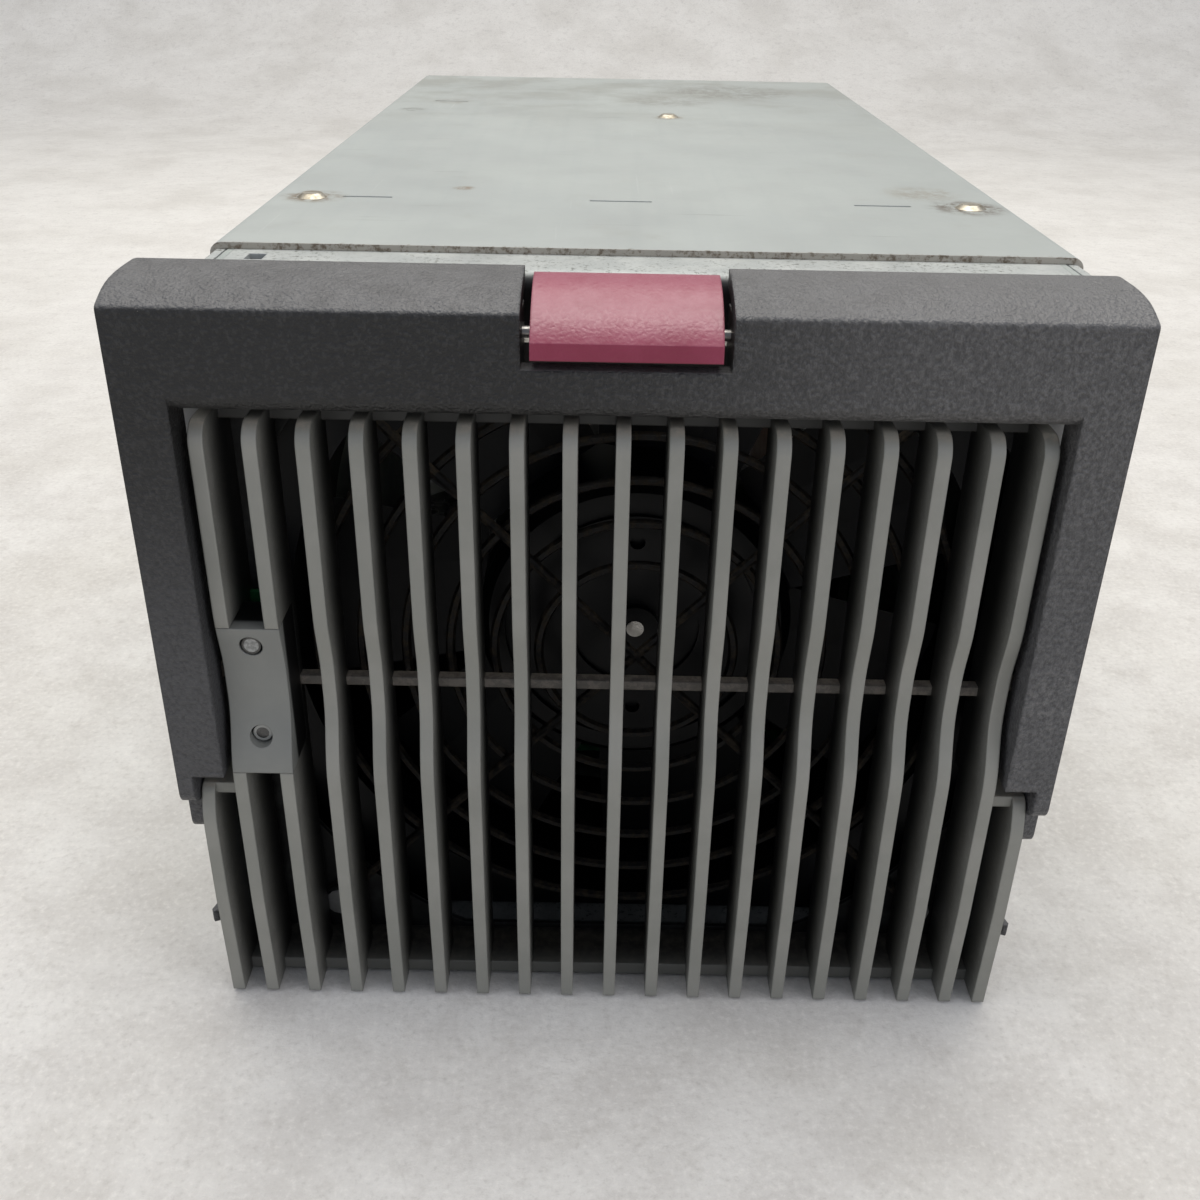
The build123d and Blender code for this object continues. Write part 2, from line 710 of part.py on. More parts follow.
# Fan body: square flanges, round duct, motor base with four struts
flange = 4.0
motor_base = hub_radius - 1.8
base_front = fan_back - 4
magnet_outer = hub_radius - 1.8
magnet_inner = magnet_outer - 2.0
tube_outer = 5.5
bearing_outer = 4.0
with BuildPart() as fan_frame:
    for start in (fan_front, fan_back - flange):
        with BuildSketch(facing_front(start)) as flange_section:
            with Locations((0, fan_z)):
                Rectangle(fan_size, fan_size)
            fillet(flange_section.vertices(), radius=5)
        extrude(amount=-flange)
    with BuildSketch(facing_front(fan_front)):
        with Locations((0, fan_z)):
            Circle(fan_bore + 2.5)
            Rectangle(fan_size, fan_size, mode=Mode.INTERSECT)
    extrude(amount=-fan_depth)
    rod(fan_bore, fan_front - 1, fan_back + 1, 0, fan_z, Mode.SUBTRACT)
    rod(motor_base, base_front, fan_back, 0, fan_z)
    for turn in (30, 120, 210, 300):
        along = (motor_base + fan_bore) / 2
        angle = math.radians(turn)
        spot = (along * math.cos(angle), (base_front + fan_back) / 2, fan_z + along * math.sin(angle))
        with Locations(Location(spot, (0, -turn, 0))):
            Box(fan_bore - motor_base + 2, 4, 6)
    rod(tube_outer, hub_front + 8, base_front, 0, fan_z)
    rod(bearing_outer, hub_front + 7, base_front, 0, fan_z, Mode.SUBTRACT)
    for side in (-1, 1):
        for up in (-1, 1):
            eye = (side * fan_hole, fan_z + up * fan_hole)
            rod(screw_radius, fan_front - 1, fan_front + flange + 1, *eye, Mode.SUBTRACT, screw_sides)
fan_frame.part.label = "fan_frame"
export_step(fan_frame.part, "parts/fan_frame.step")

# Rubber sleeves between the front wall and the fan, and the screws through them
with BuildPart() as fan_isolators:
    for side in (-1, 1):
        for up in (-1, 1):
            spot = (side * fan_hole, fan_z + up * fan_hole)
            rod(4.5, case_front + sheet, fan_front, *spot, sides=head_sides)
            rod(screw_radius, case_front, fan_front + 1, *spot, Mode.SUBTRACT, screw_sides)
fan_isolators.part.label = "fan_isolators"
export_step(fan_isolators.part, "parts/fan_isolators.step")

with BuildPart() as fan_screws:
    for side in (-1, 1):
        for up in (-1, 1):
            spot = (side * fan_hole, fan_z + up * fan_hole)
            rod(screw_radius, guard_y - guard_wire, fan_front + flange, *spot, sides=screw_sides)
            rod(2.8, guard_y - guard_wire - 1.1, guard_y - guard_wire, *spot, sides=head_sides)
fan_screws.part.label = "fan_screws"
export_step(fan_screws.part, "parts/fan_screws.step")

# Fan rotor: hub with a stepped front and lofted, twisted blades
blade_root = hub_radius - 1
blade_middle = hub_front + 15
with BuildPart() as blade:
    for radius, chord, pitch in ((blade_root, 0.21 * fan_size, 52.0), (blade_tip + 1, 0.31 * fan_size, 31.0)):
        with BuildSketch(Plane((0, 0, radius), x_dir=(1, 0, 0), z_dir=(0, 0, 1))):
            with Locations(Location((0, 0, 0), pitch)):
                with BuildLine():
                    Polyline(
                        (-chord / 2, 0),
                        (-chord / 6, 2.6),
                        (chord / 6, 2.6),
                        (chord / 2, 0),
                        (chord / 6, 1.0),
                        (-chord / 6, 1.0),
                        close=True,
                    )
                make_face()
    loft(ruled=True)
with BuildPart() as fan_rotor:
    with Locations((0, blade_middle, fan_z)):
        for number in range(blade_count):
            with Locations(Location((0, 0, 0), (0, number * 360 / blade_count + 12, 0))):
                add(blade.part)
    rod(blade_tip, hub_front, hub_front + 0.9 * fan_depth, 0, fan_z, Mode.INTERSECT)
    with Locations(Location((0, hub_front + 0.9, fan_z), (90, 0, 0))):
        Cone(hub_radius, hub_radius - 1.8, 1.8)
    rod(hub_radius, hub_front + 1.8, hub_front + hub_depth, 0, fan_z)
    rod(hub_radius - 1.8, hub_front + 2.6, hub_front + hub_depth, 0, fan_z, Mode.SUBTRACT)
    # groove round the inner disc, recess with a boss, and two balance holes
    rod(hub_radius - 4.5, hub_front - 0.1, hub_front + 0.9, 0, fan_z, Mode.SUBTRACT)
    rod(hub_radius - 6.0, hub_front + 0.1, hub_front + 1.2, 0, fan_z)
    rod(0.41 * hub_radius, hub_front - 0.1, hub_front + 1.0, 0, fan_z, Mode.SUBTRACT)
    rod(4.0, hub_front - 0.3, hub_front + 7, 0, fan_z)
    for up in (-1, 1):
        rod(1.3, hub_front - 1, hub_front + 1.7, 0, fan_z + up * 0.6 * hub_radius, Mode.SUBTRACT, head_sides)
    rod(shaft_radius, hub_front - 1, hub_front + 8, 0, fan_z, Mode.SUBTRACT)
fan_rotor.part.label = "fan_rotor"
export_step(fan_rotor.part, "parts/fan_rotor.step")

with BuildPart() as fan_shaft:
    rod(shaft_radius, hub_front - 0.5, base_front - 0.8, 0, fan_z)
fan_shaft.part.label = "fan_shaft"
export_step(fan_shaft.part, "parts/fan_shaft.step")

with BuildPart() as fan_magnet:
    rod(magnet_outer, hub_front + 9, hub_front + hub_depth - 1, 0, fan_z)
    rod(magnet_inner, hub_front + 8, hub_front + hub_depth, 0, fan_z, Mode.SUBTRACT, 24)
fan_magnet.part.label = "fan_magnet"
export_step(fan_magnet.part, "parts/fan_magnet.step")

with BuildPart() as fan_bearings:
    for start in (hub_front + 9, base_front - 6):
        rod(bearing_outer, start, start + 4, 0, fan_z)
        rod(shaft_radius + bearing_play, start - 1, start + 5, 0, fan_z, Mode.SUBTRACT)
fan_bearings.part.label = "fan_bearings"
export_step(fan_bearings.part, "parts/fan_bearings.step")

# Stator: a laminated stack with four poles, their shoes just inside the magnet
stator_reach = magnet_inner - 2.2
stator_start = hub_front + 14
stator_end = hub_front + hub_depth - 5.5
shoe_half = 7.0
with BuildPart() as fan_stator:
    rod(12, stator_start, stator_end, 0, fan_z, sides=screw_sides)
    block((-stator_reach, stator_reach), (stator_start, stator_end), (fan_z - 3.5, fan_z + 3.5))
    block((-3.5, 3.5), (stator_start, stator_end), (fan_z - stator_reach, fan_z + stator_reach))
    for side in (-1, 1):
        near, far = side * (stator_reach - 2), side * stator_reach
        block((near, far), (stator_start, stator_end), (fan_z - shoe_half, fan_z + shoe_half))
        block((-shoe_half, shoe_half), (stator_start, stator_end), (fan_z + near, fan_z + far))
    rod(tube_outer, stator_start - 1, stator_end + 1, 0, fan_z, Mode.SUBTRACT)
fan_stator.part.label = "fan_stator"
export_step(fan_stator.part, "parts/fan_stator.step")

with BuildPart() as fan_board:
    rod(hub_radius - 6.8, base_front - 1.2, base_front, 0, fan_z, sides=24)
    rod(tube_outer, base_front - 2, base_front + 1, 0, fan_z, Mode.SUBTRACT)
fan_board.part.label = "fan_board"
export_step(fan_board.part, "parts/fan_board.step")

# Main board on standoffs
board_screw_x = board_half - 6.0
board_screw_rows = (board_front + 6, (board_front + board_back) / 2, board_back - 12)
board_screw_places = [(x, y) for x in (-board_screw_x, board_screw_x) for y in board_screw_rows]
with BuildPart() as main_board:
    block((-board_half, board_half), (board_front, board_back), (board_z, board_top))
    for x, y in board_screw_places:
        post(screw_radius, board_z - 1, board_top + 1, x, y, Mode.SUBTRACT, screw_sides)
main_board.part.label = "main_board"
export_step(main_board.part, "parts/main_board.step")

with BuildPart() as board_standoffs:
    for x, y in board_screw_places:
        post(3, sheet, board_z, x, y, sides=6)
        post(screw_radius, sheet + 1.5, board_z + 1, x, y, Mode.SUBTRACT, screw_sides)
board_standoffs.part.label = "board_standoffs"
export_step(board_standoffs.part, "parts/board_standoffs.step")

with BuildPart() as board_screws:
    for x, y in board_screw_places:
        post(screw_radius, sheet + 2, board_top, x, y, sides=screw_sides)
        post(2.8, board_top, board_top + 1.8, x, y, sides=head_sides)
board_screws.part.label = "board_screws"
export_step(board_screws.part, "parts/board_screws.step")


def heatsink(x, start, end, height, fins, towards):
    """Upright aluminium plate along the air flow, with fins on one side."""
    with BuildPart() as sink:
        block((x - 2, x + 2), (start, end), (board_top, board_top + height))
        for number in range(fins):
            level = board_top + 12 + number * (height - 14) / (fins - 1)
            block((x, x + towards * 12), (start, end), (level - 0.8, level + 0.8))
    return sink.part


sink_x = board_half - 22.0
sink_start = board_front + 44.0
sink_end = board_back - 62.0
sink_length = sink_end - sink_start
sink_height = 0.66 * case_height
primary_heatsink = heatsink(-sink_x, sink_start, sink_end, sink_height, 6, -1)
primary_heatsink.label = "primary_heatsink"
export_step(primary_heatsink, "parts/primary_heatsink.step")
secondary_heatsink = heatsink(sink_x, sink_start, sink_end, sink_height, 6, 1)
secondary_heatsink.label = "secondary_heatsink"
export_step(secondary_heatsink, "parts/secondary_heatsink.step")

# Power packages screwed flat to the plates, with their legs down to the board
package_pitch = 20.0
package_count = int((sink_length - 9) // package_pitch)
for name, x, towards in (("primary_transistors", -sink_x, 1), ("secondary_rectifiers", sink_x, -1)):
    with BuildPart() as packages:
        for number in range(package_count):
            y = sink_start + 12 + number * package_pitch
            block((x + towards * 2, x + towards * 6.6), (y - 7.6, y + 7.6), (board_top + 14, board_top + 34))
            for leg in (-5, 0, 5):
                block(
                    (x + towards * 3.4, x + towards * 4.2),
                    (y + leg - 0.6, y + leg + 0.6),
                    (board_top, board_top + 14),
                )
    packages.part.label = name
    export_step(packages.part, "parts/" + name + ".step")

# Transformer: ferrite core with its winding round the middle leg
core_y = sink_start + 0.29 * sink_length
core_half = sink_x - 15.0
core_depth = 0.09 * sink_length
core_leg = core_half / 3
core_window = core_half * 5 / 7
core_low = board_top + 7
core_high = board_top + 35
with BuildPart() as transformer_core:
    block((-core_half, core_half), (core_y - core_depth, core_y + core_depth), (board_top, core_high + 7))
    for side in (-1, 1):
        block(
            (side * core_leg, side * core_window),
            (core_y - core_depth - 1, core_y + core_depth + 1),
            (core_low, core_high),
            Mode.SUBTRACT,
        )
transformer_core.part.label = "transformer_core"
export_step(transformer_core.part, "parts/transformer_core.step")

with BuildPart() as transformer_winding:
    with BuildSketch(Plane.XY.offset(core_low)) as winding_section:
        with Locations((0, core_y)):
            Rectangle(2 * core_window, 4 * core_depth)
        chamfer(winding_section.vertices(), length=0.3 * core_window)
        with Locations((0, core_y)):
            Rectangle(2 * core_leg, 2 * core_depth, mode=Mode.SUBTRACT)
    extrude(amount=core_high - core_low)
transformer_winding.part.label = "transformer_winding"
export_step(transformer_winding.part, "parts/transformer_winding.step")


def standing_coil(name, x, y, outer, depth):
    """Toroid choke that stands upright on the board, its axis along Y."""
    with BuildPart() as coil:
        rod(outer, y - depth / 2, y + depth / 2, x, board_top + outer, sides=24)
        rod(outer / 2, y - depth / 2 - 1, y + depth / 2 + 1, x, board_top + outer, Mode.SUBTRACT, head_sides)
        block((x - outer / 2, x + outer / 2), (y - depth / 2, y + depth / 2), (board_top, board_top + 4))
    coil.part.label = name
    export_step(coil.part, "parts/" + name + ".step")


standing_coil("boost_choke", 0, sink_start + 0.7 * sink_length, core_half - 2, 0.18 * sink_length)
standing_coil("output_choke", 0, board_back - 44, 0.24 * board_half, 12)
standing_coil("line_choke", 20 - board_half, board_back - 30, 0.276 * board_half, 14)

bulk_x = board_half - 25.0
bulk_radius = bulk_x / 2 - 1.5
with BuildPart() as bulk_capacitors:
    for x in (-bulk_x, 0, bulk_x):
        post(bulk_radius, board_top, board_top + 46, x, board_front + 22, sides=32)
bulk_capacitors.part.label = "bulk_capacitors"
export_step(bulk_capacitors.part, "parts/bulk_capacitors.step")

with BuildPart() as output_capacitors:
    for x in (board_half - 28, board_half - 14):
        for number in range(3):
            post(6, board_top, board_top + 26, x, board_back - 50 + number * 14, sides=20)
output_capacitors.part.label = "output_capacitors"
export_step(output_capacitors.part, "parts/output_capacitors.step")

with BuildPart() as film_capacitors:
    for y in (board_back - 50, board_back - 58):
        block((6 - board_half, 32 - board_half), (y - 3.5, y + 3.5), (board_top, board_top + 18))
film_capacitors.part.label = "film_capacitors"
export_step(film_capacitors.part, "parts/film_capacitors.step")

with BuildPart() as bridge_rectifier:
    block((-10, 10), (board_back - 57, board_back - 53), (board_top + 6, board_top + 26))
    for x in (-7.5, -2.5, 2.5, 7.5):
        block((x - 0.6, x + 0.6), (board_back - 55.5, board_back - 54.5), (board_top, board_top + 6))
bridge_rectifier.part.label = "bridge_rectifier"
export_step(bridge_rectifier.part, "parts/bridge_rectifier.step")

with BuildPart() as fuse:
    block((-11, 11), (board_back - 17, board_back - 11), (board_top, board_top + 9))
fuse.part.label = "fuse"
export_step(fuse.part, "parts/fuse.step")

with BuildPart() as inrush_relay:
    block((-6, 6), (board_back - 36, board_back - 20), (board_top, board_top + 16))
inrush_relay.part.label = "inrush_relay"
export_step(inrush_relay.part, "parts/inrush_relay.step")

with BuildPart() as control_board:
    block((board_half - 2.8, board_half - 1.2), (sink_start, sink_end), (board_top, board_top + 30))
control_board.part.label = "control_board"
export_step(control_board.part, "parts/control_board.step")

# Blind mating connector: a housing through the rear panel with a socket that opens to the rear
socket_back = case_back + 12
socket_floor = case_back - 2
housing_front = case_back - 16
connector_wall = 2.0
ear = 9.0
with BuildPart() as rear_connector:
    block((-connector_half, connector_half), (housing_front, socket_back), (connector_low, connector_high))
    block(
        (-connector_half - ear, connector_half + ear),
        (panel_front - 3, panel_front),
        (connector_low, connector_high),
    )
    block(
        (-connector_half + connector_wall, connector_half - connector_wall),
        (socket_floor, socket_back + 1),
        (connector_low + connector_wall, connector_high - connector_wall),
        Mode.SUBTRACT,
    )
    for side in (-1, 1):
        spot = (side * connector_screw_x, connector_middle)
        rod(screw_radius, panel_front - 5, panel_front + 1, *spot, Mode.SUBTRACT, screw_sides)
rear_connector.part.label = "rear_connector"
export_step(rear_connector.part, "parts/rear_connector.step")

blade_places = [connector_half * (number / 6 - 0.81) for number in range(6)]
with BuildPart() as power_blades:
    for x in blade_places:
        block((x - 0.6, x + 0.6), (socket_floor, socket_back - 5), (connector_low + 5, connector_high - 5))
power_blades.part.label = "power_blades"
export_step(power_blades.part, "parts/power_blades.step")

pin_columns = [connector_half * (0.24 + column / 14) for column in range(8)]
pin_rows = [connector_middle + 4 * (row - 1.5) for row in range(4)]
with BuildPart() as signal_pins:
    for x in pin_columns:
        for z in pin_rows:
            block((x - 0.35, x + 0.35), (socket_floor, socket_back - 7), (z - 0.35, z + 0.35))
signal_pins.part.label = "signal_pins"
export_step(signal_pins.part, "parts/signal_pins.step")

with BuildPart() as connector_screws:
    for side in (-1, 1):
        spot = (side * connector_screw_x, connector_middle)
        rod(screw_radius, panel_front - 3, tray_back, *spot, sides=screw_sides)
        rod(2.8, tray_back, tray_back + 1.6, *spot, sides=head_sides)
connector_screws.part.label = "connector_screws"
export_step(connector_screws.part, "parts/connector_screws.step")
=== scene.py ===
import json
import math

import bmesh
import bpy
from mathutils import Matrix, Vector


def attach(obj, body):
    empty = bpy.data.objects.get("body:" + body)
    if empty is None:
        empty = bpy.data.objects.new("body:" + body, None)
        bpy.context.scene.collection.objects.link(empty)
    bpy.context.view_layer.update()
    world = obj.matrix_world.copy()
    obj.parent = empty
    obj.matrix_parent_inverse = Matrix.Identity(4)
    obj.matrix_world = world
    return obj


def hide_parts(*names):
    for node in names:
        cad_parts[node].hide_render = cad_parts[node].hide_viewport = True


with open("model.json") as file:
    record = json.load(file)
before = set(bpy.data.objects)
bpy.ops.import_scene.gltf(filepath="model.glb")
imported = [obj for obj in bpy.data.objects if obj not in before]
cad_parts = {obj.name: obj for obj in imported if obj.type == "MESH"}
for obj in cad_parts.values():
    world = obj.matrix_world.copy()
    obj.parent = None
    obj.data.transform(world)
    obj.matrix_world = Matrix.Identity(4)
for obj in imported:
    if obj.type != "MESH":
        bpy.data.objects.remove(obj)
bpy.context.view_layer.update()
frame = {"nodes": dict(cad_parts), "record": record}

# Places on the object, in metres: the front of the fins and of the collar, and the middle of the grille
FIN_FACE = -0.1415
COLLAR_FRONT = -0.1275
GRILLE_X = -0.0032
# How far back the crossbar and the rail lie, the crossbar's height, and where the rail's top starts
BAR_BEHIND = 0.0085
BAR_Z = (0.0585, 0.0615)
RAIL_Z = (0.1054, 0.1057)
# Half the width of the part of the collar painted near black as shade
SHADED_HALF = 0.0612
# The lid's top, front edge and rear edge
LID_Z = 0.1265
LID_FRONT = -0.1163
LID_REAR = 0.1275
# The two light pipes: their place across, and the heights of the lower and the upper one
LENS_X = -0.05945
LENS_Z = (0.0548, 0.0709)


def linear(code):
    """Linear colour of an sRGB hex code."""
    out = []
    for place in (1, 3, 5):
        value = int(code[place : place + 2], 16) / 255
        out.append(value / 12.92 if value <= 0.04045 else ((value + 0.055) / 1.055) ** 2.4)
    return (*out, 1.0)


class Tree:
    """A material's nodes, with short ways to add the usual ones."""

    def __init__(self, name):
        self.material = bpy.data.materials.new(name)
        self.material.use_nodes = True
        self.tree = self.material.node_tree
        self.tree.nodes.clear()
        coords = self.put("ShaderNodeTexCoord")
        self.place = coords.outputs["Object"]
        self.normal = coords.outputs["Normal"]

    def put(self, kind, inputs=None, **settings):
        """Add a node with its settings; an input is a value or a socket to link."""
        made = self.tree.nodes.new(kind)
        for key, value in settings.items():
            setattr(made, key, value)
        for key, value in (inputs or {}).items():
            if isinstance(value, bpy.types.NodeSocket):
                self.tree.links.new(value, made.inputs[key])
            else:
                made.inputs[key].default_value = value
        return made

    def noise(self, size_mm, detail=3.0, rough=0.55, stretch=(1, 1, 1), shift=(0, 0, 0)):
        """Noise whose patches are about size_mm wide; stretch above 1 makes them finer along that axis."""
        vector = self.place
        if stretch != (1, 1, 1) or shift != (0, 0, 0):
            moved = {"Vector": self.place, "Scale": stretch, "Location": shift}
            vector = self.put("ShaderNodeMapping", moved).outputs[0]
        grain = {"Vector": vector, "Scale": 1000 / size_mm, "Detail": detail, "Roughness": rough}
        return self.put("ShaderNodeTexNoise", grain).outputs[0]

    def cells(self, size_mm):
        """Irregular cells about size_mm wide, each with its own colour."""
        grain = {"Vector": self.place, "Scale": 1000 / size_mm}
        return self.put("ShaderNodeTexVoronoi", grain).outputs["Color"]

    def band(self, value, low, high, to_low=0.0, to_high=1.0):
        """Value mapped smoothly from low..high to to_low..to_high."""
        made = self.put(
            "ShaderNodeMapRange",
            {"Value": value, "From Min": low, "From Max": high, "To Min": to_low, "To Max": to_high},
            interpolation_type="SMOOTHSTEP",
        )
        return made.outputs[0]

    def calc(self, operation, a, b=0.0):
        """One step of arithmetic."""
        return self.put("ShaderNodeMath", {0: a, 1: b}, operation=operation).outputs[0]

    def times(self, *values):
        """Product of several values."""
        out = values[0]
        for value in values[1:]:
            out = self.calc("MULTIPLY", out, value)
        return out

    def length(self, a, b):
        """Length of a line that goes a one way and b square to it."""
        return self.calc("SQRT", self.calc("ADD", self.times(a, a), self.times(b, b)))

    def mix(self, factor, a, b):
        """Colour a turned into colour b by factor; colours are hex codes or sockets."""
        a = linear(a) if isinstance(a, str) else a
        b = linear(b) if isinstance(b, str) else b
        # the node's colour inputs are its sockets 6 and 7, and its colour result is 2
        return self.put("ShaderNodeMix", {0: factor, 6: a, 7: b}, data_type="RGBA").outputs[2]

    def axis(self, vector, name):
        """One part (X, Y or Z) of a vector."""
        return self.put("ShaderNodeSeparateXYZ", {0: vector}).outputs[name]

    def along(self, name, low, high, to_low=0.0, to_high=1.0):
        """The place along X, Y or Z, mapped smoothly from low..high in metres to to_low..to_high."""
        return self.band(self.axis(self.place, name), low, high, to_low, to_high)

    def near(self, point, radius_mm, soft):
        """1 near a point of the object, 0 from the radius on; it falls from the soft share of the radius."""
        apart = self.put("ShaderNodeVectorMath", {0: self.place, 1: point}, operation="DISTANCE")
        return self.band(apart.outputs["Value"], radius_mm / 1000 * soft, radius_mm / 1000, 1.0, 0.0)

    def upward(self, low, high):
        """1 on faces that look up: how far up goes from low to high."""
        return self.band(self.axis(self.normal, "Z"), low, high)

    def between(self, name, low, high, soft_mm):
        """1 where a coordinate (X, Y or Z) lies between two places in metres, with a soft edge."""
        value = self.axis(self.place, name)
        soft = soft_mm / 1000
        past_low = self.band(value, low - soft, low + soft)
        before_high = self.band(value, high - soft, high + soft, 1.0, 0.0)
        return self.times(past_low, before_high)

    def finish(self, colour, rough, metal, bump, depth_mm, coat=0.0, level=0.5, edge_mm=0.0):
        """Close the material with a principled shader; edge_mm softens the look of sharp edges."""
        relief = {"Height": bump, "Distance": depth_mm / 1000, "Strength": 1.0}
        if edge_mm:
            relief["Normal"] = self.put("ShaderNodeBevel", {"Radius": edge_mm / 1000}, samples=6).outputs[0]
        inputs = {
            "Base Color": colour,
            "Roughness": rough,
            "Metallic": metal,
            "Coat Weight": coat,
            "Coat Roughness": 0.25,
            "Specular IOR Level": level,
            "Normal": self.put("ShaderNodeBump", relief).outputs[0],
        }
        shader = self.put("ShaderNodeBsdfPrincipled", inputs)
        self.put("ShaderNodeOutputMaterial", {0: shader.outputs[0]})
        return self.material


def plain(name, base, second, patch_mm, rough, metal=0.0, grain_mm=0.6, depth_mm=0.01, dust=0.0, coat=0.0):
    """A finish with soft patches of a second tone, a fine grain and some dust on top faces."""
    t = Tree(name)
    patch = t.noise(patch_mm, 4.0, 0.6)
    colour = t.mix(t.band(patch, 0.35, 0.68), base, second)
    if dust:
        settled = t.times(t.band(t.noise(3.0, 5.0, 0.65), 0.3, 0.7, 0.35, 1.0), t.upward(-0.2, 0.9), dust)
        colour = t.mix(settled, colour, "#A59D90")
    spread = t.band(patch, 0.3, 0.7, rough - 0.05, rough + 0.07)
    return t.finish(colour, spread, metal, t.noise(grain_mm, 2.0), depth_mm, coat)


def lid_finish():
    """Hot dipped galvanised sheet: faint rolling streaks, stains round the rivets, scratches and grime."""
    t = Tree("galvanised_sheet_lid")
    spangle = t.axis(t.cells(9.0), "X")
    colour = t.mix(t.band(spangle, 0.0, 1.0, 0.0, 0.25), "#A9AEAA", "#B1B6B2")
    colour = t.mix(t.band(t.noise(70, 4.0, 0.6), 0.35, 0.75, 0.0, 0.6), colour, "#9DA2A0")
    colour = t.mix(t.along("X", 0.0, 0.065, 0.0, 0.4), colour, "#959A97")
    streak = t.noise(2.4, 3.0, 0.5, (1, 0.03, 1))
    colour = t.mix(t.band(streak, 0.45, 0.75, 0.0, 0.25), colour, "#9DA3A1")
    colour = t.mix(t.band(t.noise(16, 6.0, 0.7), 0.55, 0.8, 0.0, 0.3), colour, "#8F8E85")
    # the far half is dirtier, with wiped patches
    far = t.times(t.along("Y", -0.02, 0.11), t.band(t.noise(24, 5.0, 0.65), 0.42, 0.62, 0.15, 0.85))
    colour = t.mix(t.times(far, 0.6), colour, "#86867E")
    # dried glue and grime at the rivets, and a few lone spots: place, radius in mm, tone, amount
    grain = t.noise(2.2, 6.0, 0.7)
    for x, y, radius, tone, amount in (
        (-0.0575, -0.0795, 7.0, "#6B5B45", 0.85),
        (0.0573, -0.0790, 8.5, "#54483A", 0.95),
        (0.0093, 0.0350, 5.0, "#6E5F49", 0.8),
        (-0.0323, -0.0688, 2.6, "#7A6750", 0.8),
        (-0.0571, 0.0420, 4.5, "#55514A", 0.6),
        (-0.0490, 0.0607, 7.0, "#7F7A70", 0.5),
        (0.0300, 0.0950, 26.0, "#6F6C64", 0.55),
        (0.0100, 0.0700, 16.0, "#77736A", 0.45),
        (0.0520, -0.0660, 9.0, "#857F72", 0.6),
    ):
        stain = t.times(t.near((x, y, LID_Z), radius, 0.35), t.band(grain, 0.4, 0.6, 0.1, 1.0), amount)
        colour = t.mix(stain, colour, tone)
    # long thin scratches along and across the lid
    along = t.band(t.noise(0.8, 2.0, 0.4, (1, 0.02, 1)), 0.69, 0.76, 0.0, 0.12)
    across = t.band(t.noise(0.9, 2.0, 0.4, (0.03, 1, 1), (3, 1, 0)), 0.70, 0.75, 0.0, 0.4)
    colour = t.mix(t.times(along, t.band(t.noise(30), 0.45, 0.6)), colour, "#D9DCD9")
    colour = t.mix(t.times(across, t.band(t.noise(24), 0.5, 0.62)), colour, "#74756F")
    # brown grime and rust dots on the front edge, and dirt just behind it
    edge = t.along("Y", LID_FRONT + 0.00005, LID_FRONT + 0.0002, 1.0, 0.0)
    dots = t.band(t.noise(1.3, 4.0, 0.7), 0.5, 0.68, 0.0, 1.0)
    colour = t.mix(edge, colour, t.mix(dots, "#A7A297", "#6A5E4F"))
    lip = t.along("Y", LID_FRONT + 0.0002, LID_FRONT + 0.0012, 1.0, 0.0)
    colour = t.mix(t.times(lip, t.band(t.noise(0.9, 3.0), 0.56, 0.66, 0.0, 0.7)), colour, "#6A5F4E")
    rough = t.band(t.noise(20, 5.0, 0.65), 0.3, 0.7, 0.46, 0.62)
    return t.finish(colour, rough, 0.25, t.noise(5.0, 3.0), 0.02, edge_mm=0.3)


def case_finish():
    """Galvanised sheet below the lid and at the rear, with dirt in patches."""
    t = Tree("galvanised_sheet_case")
    colour = t.mix(t.band(t.axis(t.cells(6.0), "X"), 0.0, 1.0, 0.0, 0.5), "#AEB5B1", "#BFC5C0")
    colour = t.mix(t.band(t.noise(9, 6.0, 0.7), 0.5, 0.75, 0.0, 0.35), colour, "#6F675A")
    rough = t.band(t.noise(15, 4.0), 0.3, 0.7, 0.36, 0.55)
    return t.finish(colour, rough, 0.55, t.noise(4.0, 3.0), 0.02, edge_mm=0.3)


def collar_finish():
    """Galvanised collar: painted light on the upper corners, a specked roof, and painted shade, near black,
    behind the grille.
    """
    t = Tree("galvanised_sheet_collar")
    colour = t.mix(t.band(t.noise(7, 5.0, 0.65), 0.35, 0.7), "#A6AAA7", "#B6B9B5")
    specks = t.band(t.noise(0.8, 4.0, 0.75), 0.54, 0.62, 0.0, 0.8)
    colour = t.mix(t.times(specks, t.band(t.noise(9, 3.0), 0.42, 0.6, 0.25, 1.0)), colour, "#54564E")
    # painted light: the narrow outer margin beside the top of the grille is painted near white
    side_way = t.calc("ABSOLUTE", t.calc("SUBTRACT", t.axis(t.place, "X"), GRILLE_X))
    forward = t.band(t.axis(t.normal, "Y"), -0.95, -0.6, 1.0, 0.0)
    painted_light_margin = t.times(t.band(side_way, SHADED_HALF, SHADED_HALF + 0.0004), t.along("Z", 0.085, 0.09), forward)
    colour = t.mix(painted_light_margin, colour, "#F2F2EE")
    # painted shade: near black on the collar's face behind the grille, where the fan draws the air in
    face_on = t.along("Y", COLLAR_FRONT + 0.0004, COLLAR_FRONT + 0.0016, 1.0, 0.0)
    inside = t.band(side_way, SHADED_HALF, SHADED_HALF + 0.001, 1.0, 0.0)
    uneven = t.band(t.noise(6, 5.0, 0.6), 0.2, 0.6, 0.9, 0.99)
    colour = t.mix(t.times(face_on, inside, uneven), colour, "#080808")
    rough = t.band(t.noise(15, 4.0), 0.3, 0.7, 0.4, 0.6)
    return t.finish(colour, rough, 0.15, t.noise(2.0, 3.0), 0.02, edge_mm=0.3)


